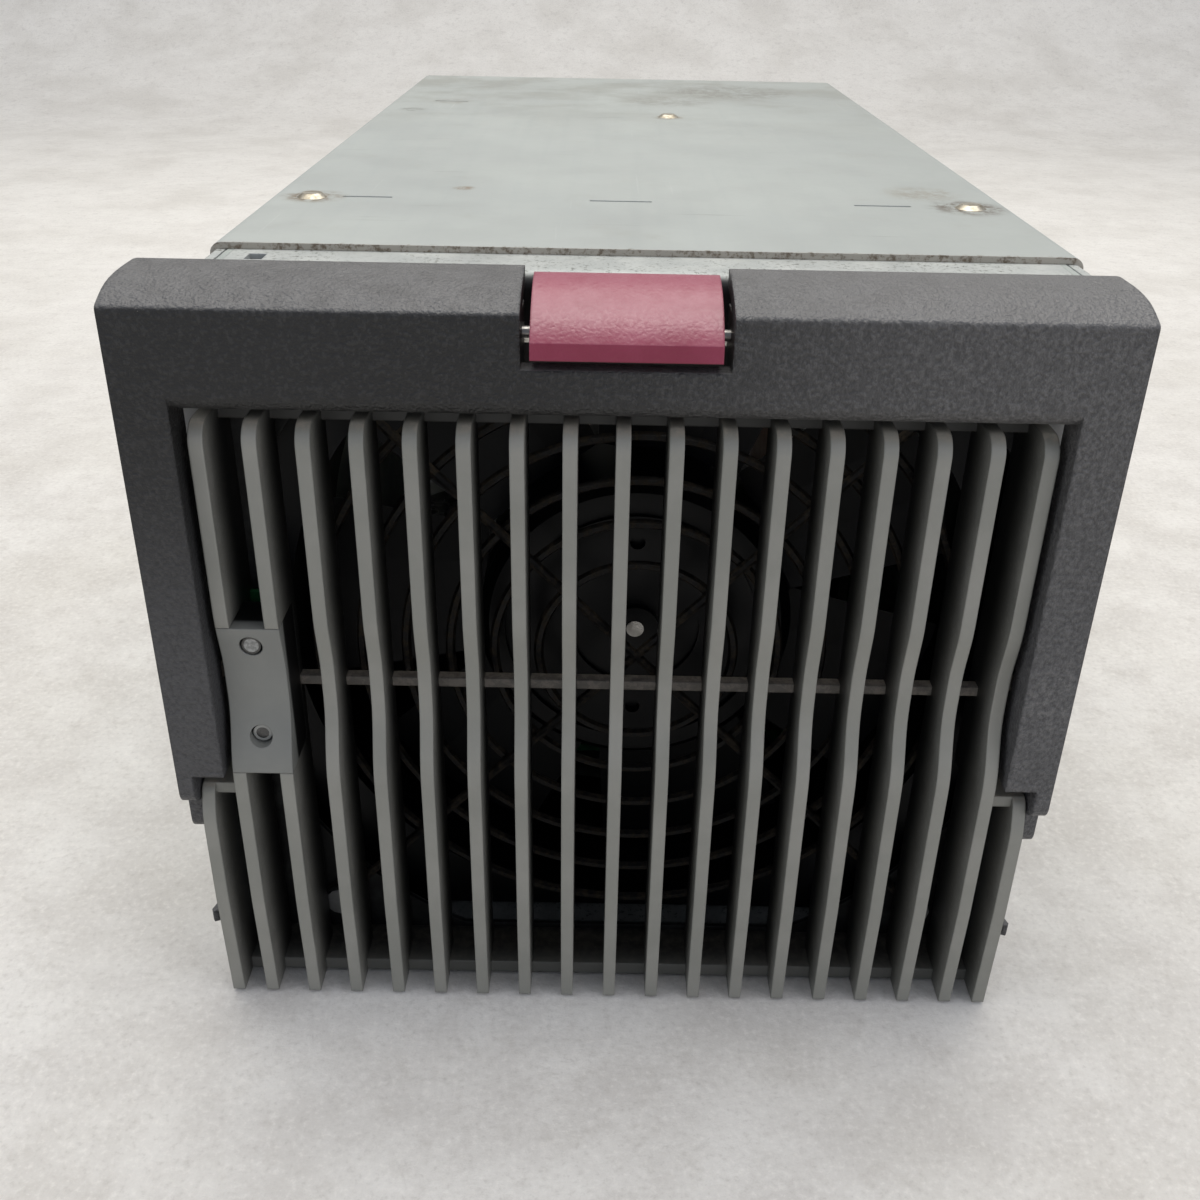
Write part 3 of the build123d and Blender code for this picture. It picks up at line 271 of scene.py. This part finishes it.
def handle_finish():
    """Moulded plastic with a spark eroded texture: painted light on the right half and on top, and paler low
    on the arms.
    """
    t = Tree("moulded_plastic_textured_handle")
    # the grain is drawn coarser than the real one, so that it shows
    fine = t.noise(0.55, 2.0, 0.5)
    patch = t.noise(26, 4.0, 0.6)
    colour = t.mix(t.band(patch, 0.35, 0.7), "#121211", "#181817")
    # painted light: the right half is painted paler, as lit from the right; the arms are paler near their
    # lower ends
    colour = t.mix(t.along("X", -0.02, 0.055, 0.0, 0.68), colour, "#5A5958")
    colour = t.mix(t.along("Z", 0.06, 0.11, 0.7, 0.0), colour, "#4F4F50")
    # painted highlights on the peaks of the grain, more of them to the right, and painted shade in its pits
    glint = t.times(t.band(fine, 0.5, 0.68), t.along("X", -0.02, 0.055, 0.07, 0.26))
    colour = t.mix(glint, colour, "#7A7977")
    colour = t.mix(t.band(fine, 0.5, 0.32, 0.0, 0.32), colour, "#0B0B0B")
    # painted highlight on the faces that look up
    top = t.times(t.upward(0.25, 0.95), t.band(t.noise(4, 5.0, 0.7), 0.3, 0.7, 0.55, 0.8))
    colour = t.mix(top, colour, "#686868")
    specks = t.band(t.noise(1.3, 3.0, 0.8, (1, 1, 1), (5, 5, 5)), 0.76, 0.79, 0.0, 0.7)
    colour = t.mix(specks, colour, "#B7B3AC")
    # a rubbed patch low on the right arm
    rubbed = t.times(t.near((0.0640, -0.1438, 0.066), 9.0, 0.2), t.band(t.noise(1.0, 5.0, 0.7), 0.5, 0.6))
    colour = t.mix(t.times(rubbed, 0.25), colour, "#8C8A86")
    rough = t.band(patch, 0.3, 0.7, 0.42, 0.5)
    return t.finish(colour, rough, 0.0, fine, 0.4, edge_mm=0.8)


def latch_finish():
    """Moulded burgundy plastic with a satin sheen, a painted highlight on its upward faces, and a texture
    that is drawn coarser than the real one.
    """
    t = Tree("moulded_plastic_burgundy")
    fine = t.noise(0.5, 1.0, 0.4)
    colour = t.mix(t.band(t.noise(12, 4.0), 0.35, 0.7), "#7F213B", "#8B2E48")
    # painted highlight: paler on the faces that look up
    painted_top_highlight = t.times(t.upward(0.4, 0.9), t.band(t.noise(3, 5.0, 0.7), 0.3, 0.7, 0.2, 0.4))
    colour = t.mix(painted_top_highlight, colour, "#A67880")
    return t.finish(colour, t.band(fine, 0.3, 0.7, 0.32, 0.42), 0.0, fine, 0.05, level=0.6, edge_mm=0.4)


def grille_finish():
    """Moulded grey plastic: painted shade on its flanks, with grime, and on all that lies deep; what looks
    up is dusty.
    """
    t = Tree("moulded_plastic_grille_grey")
    patch = t.noise(18, 4.0, 0.6)
    colour = t.mix(t.band(patch, 0.35, 0.7), "#82827A", "#8D8C84")
    # painted shade on the fins' flanks, made uneven like grime
    flank = t.band(t.calc("ABSOLUTE", t.axis(t.normal, "X")), 0.5, 0.9)
    flank_shade_and_grime = t.times(flank, t.band(t.noise(7, 5.0, 0.65), 0.3, 0.7, 0.25, 0.5))
    colour = t.mix(flank_shade_and_grime, colour, "#4E4D49")
    grains = t.times(flank, t.band(t.noise(0.5, 2.0), 0.58, 0.66, 0.0, 0.35))
    colour = t.mix(grains, colour, "#8E8D87")
    behind = t.axis(t.place, "Y")
    # painted shade: darker the deeper it lies behind the fins' front
    colour = t.mix(t.band(behind, FIN_FACE + 0.001, FIN_FACE + 0.0105, 0.0, 0.93), colour, "#191918")
    # dust on the crossbar and the ledges, and painted light with dust on the rail's top
    dust = t.band(t.noise(1.6, 6.0, 0.75), 0.4, 0.62, 0.25, 1.0)
    at_bar = t.between("Z", *BAR_Z, 0.3)
    set_back = t.band(behind, FIN_FACE + BAR_BEHIND, FIN_FACE + BAR_BEHIND + 0.001)
    bar = t.times(at_bar, set_back, t.calc("SUBTRACT", 1.0, flank))
    colour = t.mix(t.times(bar, t.band(dust, 0.25, 1.0, 0.55, 0.95)), colour, "#B5AA9C")
    at_rail = t.along("Z", *RAIL_Z)
    rail = t.times(at_rail, t.band(behind, FIN_FACE + BAR_BEHIND, FIN_FACE + BAR_BEHIND + 0.0004))
    colour = t.mix(t.times(rail, t.band(dust, 0.3, 1.0, 0.5, 1.0)), colour, "#D3D2CA")
    forward = t.band(behind, FIN_FACE + 0.0015, FIN_FACE + 0.004, 1.0, 0.25)
    settled = t.times(t.upward(0.6, 0.95), forward, dust)
    colour = t.mix(t.times(settled, 0.7), colour, "#A3998A")
    return t.finish(colour, t.band(patch, 0.3, 0.7, 0.42, 0.52), 0.0, t.noise(0.8, 2.0), 0.04, edge_mm=0.45)


def guard_finish():
    """Plated spring wire, near black as soot and as painted shade deep inside the grille, with brownish dust
    caught on it.
    """
    t = Tree("plated_wire_soot_and_shade")
    dust = t.band(t.noise(1.6, 6.0, 0.75), 0.42, 0.66, 0.0, 0.6)
    colour = t.mix(dust, "#131211", "#5B5143")
    return t.finish(colour, t.band(dust, 0.0, 0.5, 0.45, 0.9), 0.0, t.noise(0.8, 4.0), 0.08, level=0.3)


def fan_finish():
    """Black glass filled nylon of the fan with a thin film of dust."""
    t = Tree("moulded_nylon_fan_black")
    film = t.times(t.band(t.noise(5, 5.0, 0.7), 0.35, 0.7, 0.0, 0.06), t.upward(-0.6, 0.9))
    colour = t.mix(t.band(t.noise(10, 3.0), 0.3, 0.7), "#040608", "#080B0E")
    colour = t.mix(film, colour, "#262420")
    return t.finish(colour, 0.4, 0.0, t.noise(1.0, 3.0), 0.02, level=0.3)


def lens_finish():
    """Moulded light pipe with a frosted end: the upper one is pale, the lower one looks dark and glassy;
    painted shade and painted highlight rings.
    """
    t = Tree("moulded_acrylic_light_pipe")
    pale = t.mix(t.band(t.noise(0.9, 3.0, 0.7), 0.35, 0.65), "#6E6F6B", "#9B9C97")
    dark = t.mix(t.band(t.noise(0.9, 3.0, 0.7), 0.35, 0.65), "#232322", "#3C3C3A")
    colour = t.mix(t.along("Z", 0.0625, 0.0635), dark, pale)
    # a painted shade rim round the upper end, and a painted highlight ring round the dark lower one
    across = t.calc("SUBTRACT", t.axis(t.place, "X"), LENS_X)
    lower, upper = LENS_Z
    for height, low, high, tone in (
        (upper, 0.00112, 0.0012, "#22221F"),
        (lower, 0.0010, 0.00105, "#93948F"),
    ):
        up = t.calc("SUBTRACT", t.axis(t.place, "Z"), height)
        reach = t.length(across, up)
        near_it = t.band(t.calc("ABSOLUTE", up), 0.003, 0.0035, 1.0, 0.0)
        colour = t.mix(t.times(t.band(reach, low, high), near_it), colour, tone)
    return t.finish(colour, 0.22, 0.0, t.noise(0.5), 0.01, 0.6, edge_mm=0.25)


def block_finish():
    """Moulded grey plastic of the indicator block, with painted shade inside its two holes."""
    t = Tree("moulded_plastic_indicator_block")
    patch = t.noise(12, 4.0, 0.6)
    colour = t.mix(t.band(patch, 0.35, 0.7), "#787974", "#80817B")
    # painted shade inside the holes, from 2.2 mm behind the fins' front
    colour = t.mix(t.along("Y", FIN_FACE + 0.0022, FIN_FACE + 0.0032), colour, "#141413")
    # painted shade: dark rings round the two light pipes, in the gaps round them
    across = t.calc("SUBTRACT", t.axis(t.place, "X"), LENS_X)
    for height in LENS_Z:
        reach = t.length(across, t.calc("SUBTRACT", t.axis(t.place, "Z"), height))
        colour = t.mix(t.band(reach, 0.00145, 0.00165, 1.0, 0.0), colour, "#1C1C1B")
    return t.finish(colour, t.band(patch, 0.3, 0.7, 0.44, 0.54), 0.0, t.noise(0.8, 2.0), 0.02, edge_mm=0.3)


def board_finish():
    """Green solder resist over glass laminate with a faint weave."""
    t = Tree("laminate_green_resist")
    weave = t.noise(0.6, 1.0, 0.3, (1, 6, 1))
    colour = t.mix(t.band(weave, 0.3, 0.7), "#1C5B34", "#236B3E")
    colour = t.mix(t.band(t.noise(5, 2.0), 0.55, 0.6, 0.0, 0.5), colour, "#2E7D49")
    return t.finish(colour, 0.35, 0.0, weave, 0.01, 0.4)


def wound_finish():
    """Enamelled copper wire, the turns shown as fine ridges."""
    t = Tree("enamelled_copper_winding")
    turns = {"Vector": t.place, "Scale": 1000 / 12.0, "Distortion": 0.6, "Detail": 1.0}
    wave = t.put("ShaderNodeTexWave", turns, bands_direction="DIAGONAL").outputs[1]
    colour = t.mix(wave, "#7A3A16", "#C9763A")
    return t.finish(colour, 0.32, 0.7, wave, 0.3)


looks = {
    "lid_steel": lid_finish(),
    "case_steel": case_finish(),
    "collar_steel": collar_finish(),
    "rivet_steel": plain("bright_rivet_steel", "#B9B4A6", "#8E8675", 1.5, 0.35, metal=0.8),
    "screw_steel": plain("zinc_plated_screw", "#8E9091", "#7C7D7C", 3, 0.35, metal=0.85),
    "grille_plastic": grille_finish(),
    "block_plastic": block_finish(),
    "lens_plastic": lens_finish(),
    "handle_plastic": handle_finish(),
    "latch_plastic": latch_finish(),
    "pin_steel": plain("ground_steel_pin", "#B5B4B0", "#9A9893", 2, 0.3, metal=0.85),
    "spring_steel": plain("oiled_spring_wire", "#5A5A5A", "#6A6865", 2, 0.4, metal=0.8),
    "guard_steel": guard_finish(),
    "fan_plastic": fan_finish(),
    "sleeve_rubber": plain(
        "moulded_rubber_sleeve", "#1A1A1A", "#242424", 4, 0.8, grain_mm=0.5, depth_mm=0.03
    ),
    "bearing_steel": plain("ground_bearing_steel", "#A5A6A8", "#8E8F90", 2, 0.25, metal=0.9),
    "stator_steel": plain(
        "stamped_stator_steel", "#6A645A", "#7A7368", 2, 0.5, metal=0.6, grain_mm=0.4, depth_mm=0.05
    ),
    "magnet_ferrite": plain("sintered_magnet", "#2A2A2B", "#333334", 3, 0.6, metal=0.2),
    "board_laminate": board_finish(),
    "led_resin": plain(
        "clear_resin_led", "#D8D6C4", "#C9C7B5", 1, 0.2, grain_mm=0.5, depth_mm=0.0, coat=0.5
    ),
    "standoff_brass": plain("turned_brass_standoff", "#B89A55", "#A3874A", 2, 0.3, metal=0.9),
    "sink_aluminium": plain(
        "extruded_aluminium_sink", "#C0C2C4", "#AFB1B3", 8, 0.35, metal=0.85, grain_mm=0.5, dust=0.25
    ),
    "package_epoxy": plain(
        "moulded_epoxy_package", "#1B1B1C", "#242425", 3, 0.5, grain_mm=0.4, depth_mm=0.02
    ),
    "core_ferrite": plain(
        "sintered_ferrite_core", "#2F3032", "#3A3B3C", 4, 0.55, metal=0.1, grain_mm=0.5, depth_mm=0.02
    ),
    "winding_tape": plain(
        "polyester_tape_winding", "#C9A638", "#B8962E", 9, 0.35, grain_mm=2.0, depth_mm=0.02
    ),
    "choke_wire": wound_finish(),
    "capacitor_sleeve": plain(
        "shrunk_sleeve_capacitor", "#1B2028", "#232A34", 9, 0.3, grain_mm=1.0, dust=0.2, coat=0.3
    ),
    "case_resin": plain("moulded_resin_case", "#A29A80", "#B0A88E", 6, 0.4, grain_mm=0.7, dust=0.2),
    "fuse_ceramic": plain("glazed_ceramic_fuse", "#D5CFBF", "#C6C0B0", 3, 0.35, grain_mm=0.7),
    "connector_plastic": plain(
        "glass_filled_connector", "#1D1D1E", "#262627", 5, 0.5, grain_mm=0.5, depth_mm=0.02, dust=0.1
    ),
    "contact_alloy": plain("plated_contact_alloy", "#D8B868", "#C6A557", 2, 0.28, metal=0.95),
}
for entry in frame["record"]["subparts"]:
    mesh = frame["nodes"][entry["node"]].data
    mesh.materials.clear()
    mesh.materials.append(looks[entry["material_slot"]])


def add_block(shape, low, high):
    """A box between two corners; returns its vertices."""
    low, high = Vector(low), Vector(high)
    place = Matrix.Translation((low + high) / 2) @ Matrix.Diagonal((*(high - low), 1.0))
    return bmesh.ops.create_cube(shape, size=1.0, matrix=place)["verts"]


def round_edges(shape, verts, chosen, radius):
    """Bevel the edges among these vertices whose middle and direction pass the test."""
    picked = []
    for edge in {edge for vert in verts for edge in vert.link_edges}:
        start, end = (vert.co for vert in edge.verts)
        if chosen((start + end) / 2, start - end):
            picked.append(edge)
    bmesh.ops.bevel(
        shape,
        geom=picked,
        offset=radius,
        offset_type="OFFSET",
        segments=5,
        profile=0.5,
        affect="EDGES",
        material=-1,
    )


def corners_of(geom):
    """The vertices among what an operator made."""
    return [item for item in geom if isinstance(item, bmesh.types.BMVert)]


def add_piece(name, shape, slot_name):
    """Close a bmesh into a piece at the origin that rides the case and takes one slot's finish."""
    mesh = bpy.data.meshes.new(name)
    shape.to_mesh(mesh)
    shape.free()
    mesh.materials.append(looks[slot_name])
    made = bpy.data.objects.new(name, mesh)
    bpy.context.scene.collection.objects.link(made)
    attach(made, "case")
    return made


# The lid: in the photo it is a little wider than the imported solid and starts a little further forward.
# It is one folded sheet with four punched slits and a turned down rear edge.
LID_HALF = 0.0655
LID_LOW = 0.1125
LID_BEND = 0.0018
LID_TURNED_DOWN = 0.01
SHEET = 0.001
# Middle and length of each slit
SLITS = (
    (-0.0482, -0.0788, 0.0086),
    (-0.0037, -0.0787, 0.0109),
    (0.0424, -0.0785, 0.0100),
    (-0.0491, 0.0610, 0.0089),
)
SLIT_HALF = 0.00045


def on_roof_edge(middle, way):
    """Whether an edge runs along the lid at its top."""
    return abs(way.y) > 0.1 and middle.z > LID_Z - 0.001


shape = bmesh.new()
verts = add_block(shape, (-LID_HALF, LID_FRONT, LID_LOW), (LID_HALF, LID_REAR, LID_Z))
round_edges(shape, verts, on_roof_edge, LID_BEND)
shape.normal_update()
ends = [face for face in shape.faces if face.normal.z < -0.5 or abs(face.normal.y) > 0.5]
bmesh.ops.delete(shape, geom=ends, context="FACES")
for x, y, length in SLITS:
    for place, way in (
        ((x - length / 2, 0, 0), (1, 0, 0)),
        ((x + length / 2, 0, 0), (1, 0, 0)),
        ((0, y - SLIT_HALF, 0), (0, 1, 0)),
        ((0, y + SLIT_HALF, 0), (0, 1, 0)),
    ):
        everything = list(shape.verts) + list(shape.edges) + list(shape.faces)
        bmesh.ops.bisect_plane(shape, geom=everything, plane_co=place, plane_no=way)
punched = []
for face in shape.faces:
    middle = face.calc_center_median()
    if any(abs(middle.x - x) < length / 2 and abs(middle.y - y) < SLIT_HALF for x, y, length in SLITS):
        punched.append(face)
bmesh.ops.delete(shape, geom=punched, context="FACES")
bmesh.ops.recalc_face_normals(shape, faces=shape.faces)
shape.normal_update()
top = max(shape.faces, key=lambda face: face.calc_area())
if top.normal.z < 0:
    bmesh.ops.reverse_faces(shape, faces=shape.faces)
bmesh.ops.solidify(shape, geom=list(shape.faces), thickness=SHEET)
add_block(
    shape,
    (-LID_HALF + SHEET, LID_REAR - SHEET, LID_Z - LID_TURNED_DOWN),
    (LID_HALF - SHEET, LID_REAR, LID_Z - SHEET),
)
lid = add_piece("folded_lid", shape, "lid_steel")
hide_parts("top_cover")

# Heads of the lid's side screws, flush with the wider lid
HEAD_X = 0.0637
HEAD_Y = (-0.070, 0.090)
HEAD_Z = 0.1195
HEAD_RADIUS = 0.0026
HEAD_DEPTH = 0.0038
shape = bmesh.new()
for side in (-1, 1):
    for along in HEAD_Y:
        turned = Matrix.Translation((side * HEAD_X, along, HEAD_Z)) @ Matrix.Rotation(math.pi / 2, 4, "Y")
        bmesh.ops.create_cone(
            shape,
            cap_ends=True,
            segments=24,
            radius1=HEAD_RADIUS,
            radius2=HEAD_RADIUS,
            depth=HEAD_DEPTH,
            matrix=turned,
        )
heads = add_piece("lid_screw_heads", shape, "screw_steel")
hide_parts("cover_screws")

# Side margins that bring the collar out to the lid's width, with the collar's rounded upper front edge
MARGIN_X = (0.0631, 0.0644)
MARGIN_BACK = -0.1100
MARGIN_Z = (0.004, 0.12545)
MARGIN_BEND = 0.0025


def on_margin_nose(middle, way):
    """Whether an edge runs across a margin at its upper front."""
    return abs(way.x) > 0.001 and middle.z > 0.12 and middle.y < COLLAR_FRONT + 0.001


shape = bmesh.new()
for side in (-1, 1):
    near, far = sorted(side * x for x in MARGIN_X)
    verts = add_block(shape, (near, COLLAR_FRONT, MARGIN_Z[0]), (far, MARGIN_BACK, MARGIN_Z[1]))
    round_edges(shape, verts, on_margin_nose, MARGIN_BEND)
add_piece("collar_margins", shape, "collar_steel")

# Slender snap fingers that point forward from the grille's outer fins
FINGER_X = 0.0669
FINGER_Z = 0.0142
FINGER_HEIGHT = 0.0022
shape = bmesh.new()
for side in (-1, 1):
    root = GRILLE_X + side * FINGER_X
    outline = [
        (root, FIN_FACE + 0.0125),
        (root + side * 0.0028, FIN_FACE + 0.0026),
        (root + side * 0.0024, FIN_FACE + 0.0019),
        (root + side * 0.0016, FIN_FACE + 0.0022),
        (root, FIN_FACE + 0.0085),
    ]
    flat = shape.faces.new([shape.verts.new((x, y, FINGER_Z)) for x, y in outline])
    grown = bmesh.ops.extrude_face_region(shape, geom=[flat], use_keep_orig=True)["geom"]
    bmesh.ops.translate(shape, verts=corners_of(grown), vec=(0, 0, FINGER_HEIGHT))
bmesh.ops.recalc_face_normals(shape, faces=shape.faces)
add_piece("snap_fingers", shape, "handle_plastic")


def floor_finish():
    """Pale paper with a soft mottle and a fine grain."""
    t = Tree("paper_sheet_floor")
    mottle = t.band(t.noise(22, 8.0, 0.7), 0.3, 0.7)
    colour = t.mix(mottle, "#C8C5C0", "#D9D7D2")
    # painted light: the floor is painted paler further back
    colour = t.mix(t.along("Y", -0.05, 0.6, 0.0, 0.5), colour, "#F1EEE6")
    colour = t.mix(t.band(t.noise(70, 5.0, 0.6), 0.4, 0.7, 0.0, 0.3), colour, "#B9B4AA")
    blots = t.band(t.noise(6, 6.0, 0.7), 0.5, 0.72, 0.0, 0.4)
    colour = t.mix(blots, colour, "#B9B5AE")
    grain = t.noise(1.4, 4.0, 0.7)
    colour = t.mix(t.band(grain, 0.5, 0.75, 0.0, 0.4), colour, "#AAA6A0")
    colour = t.mix(t.band(grain, 0.5, 0.3, 0.0, 0.35), colour, "#E9E6E0")
    return t.finish(colour, 0.85, 0.0, t.noise(2.0, 5.0, 0.7), 0.25)


# The floor: one sheet that runs flat from the front, curves up and ends as a wall
FLOOR_HALF = 2.4
FLOOR_NEAR = -1.6
FLOOR_FLAT_END = 0.9
FLOOR_RADIUS = 0.6
FLOOR_TOP = 2.6


def pull(shape, edge, way):
    """Extrude one edge into a face; returns the new edge."""
    grown = bmesh.ops.extrude_edge_only(shape, edges=[edge])["geom"]
    moved = corners_of(grown)
    bmesh.ops.translate(shape, verts=moved, vec=way)
    return shape.edges.get(moved)


shape = bmesh.new()
near_edge = shape.edges.new([shape.verts.new((x, FLOOR_NEAR, 0.0)) for x in (-FLOOR_HALF, FLOOR_HALF)])
flat_end = pull(shape, near_edge, (0, FLOOR_FLAT_END - FLOOR_NEAR, 0))
curved = bmesh.ops.spin(
    shape,
    geom=[flat_end, *flat_end.verts],
    cent=(0, FLOOR_FLAT_END, FLOOR_RADIUS),
    axis=(1, 0, 0),
    angle=math.pi / 2,
    steps=12,
    use_merge=False,
)
curve_end = shape.edges.get(corners_of(curved["geom_last"]))
pull(shape, curve_end, (0, 0, FLOOR_TOP - FLOOR_RADIUS))
# the faces come out looking down, so they are turned to look up
bmesh.ops.reverse_faces(shape, faces=shape.faces)
shape.normal_update()
mesh = bpy.data.meshes.new("floor")
shape.to_mesh(mesh)
shape.free()
for face in mesh.polygons:
    face.use_smooth = True
mesh.materials.append(floor_finish())
floor = bpy.data.objects.new("floor", mesh)
bpy.context.scene.collection.objects.link(floor)


def lamp(name, place, target, size, power, tone):
    """Soft rectangular lamp that looks at a point."""
    data = bpy.data.lights.new(name, "AREA")
    data.shape = "RECTANGLE"
    data.size, data.size_y = size
    data.energy = power
    data.color = linear(tone)[:3]
    made = bpy.data.objects.new(name, data)
    bpy.context.scene.collection.objects.link(made)
    look = Vector(target) - Vector(place)
    made.matrix_world = Matrix.Translation(place) @ look.to_track_quat("-Z", "Y").to_matrix().to_4x4()


lamp("lamp_over", (0.0, 0.30, 1.25), (0, 0, 0.05), (1.5, 1.0), 14.5, "#FFF9EF")
lamp("lamp_gap", (0.0, -0.16, 1.1), (0, -0.13, 0.1), (0.5, 0.25), 2.5, "#FFFBF4")
lamp("lamp_left", (-1.1, -0.6, 0.7), (0, -0.1, 0.06), (0.8, 0.8), 2.5, "#F6F8FF")
lamp("lamp_right", (0.9, -0.8, 0.5), (0, -0.1, 0.06), (0.8, 0.8), 3.5, "#FBF9FF")

WORLD_TONE = "#E1E9FB"
WORLD_STRENGTH = 0.52
world = bpy.data.worlds.new("soft_room")
world.use_nodes = True
background = world.node_tree.nodes["Background"]
background.inputs["Color"].default_value = linear(WORLD_TONE)
background.inputs["Strength"].default_value = WORLD_STRENGTH
bpy.context.scene.world = world
bpy.context.scene.view_settings.view_transform = "Standard"

# Camera fitted to the photo: its lens in mm, its place in metres, and its heading, pitch and roll in degrees
CAMERA_LENS = 37.43
CAMERA_SENSOR = 36.0
CAMERA_PLACE = (-0.00637, -0.30521, 0.16837)
CAMERA_YAW, CAMERA_PITCH, CAMERA_ROLL = 0.092, 28.207, -1.098
data = bpy.data.cameras.new("camera")
data.lens = CAMERA_LENS
data.sensor_width = CAMERA_SENSOR
data.clip_start = 0.01
camera = bpy.data.objects.new("camera", data)
bpy.context.scene.collection.objects.link(camera)
yaw, pitch, roll = math.radians(CAMERA_YAW), math.radians(CAMERA_PITCH), math.radians(CAMERA_ROLL)
forward = Vector((math.sin(yaw) * math.cos(pitch), math.cos(yaw) * math.cos(pitch), -math.sin(pitch)))
right = Vector((math.cos(yaw), -math.sin(yaw), 0))
above = right.cross(forward)
side = math.cos(roll) * right - math.sin(roll) * above
above = math.sin(roll) * right + math.cos(roll) * above
turned = Matrix((side, above, -forward)).transposed().to_4x4()
camera.matrix_world = Matrix.Translation(CAMERA_PLACE) @ turned
bpy.context.scene.camera = camera
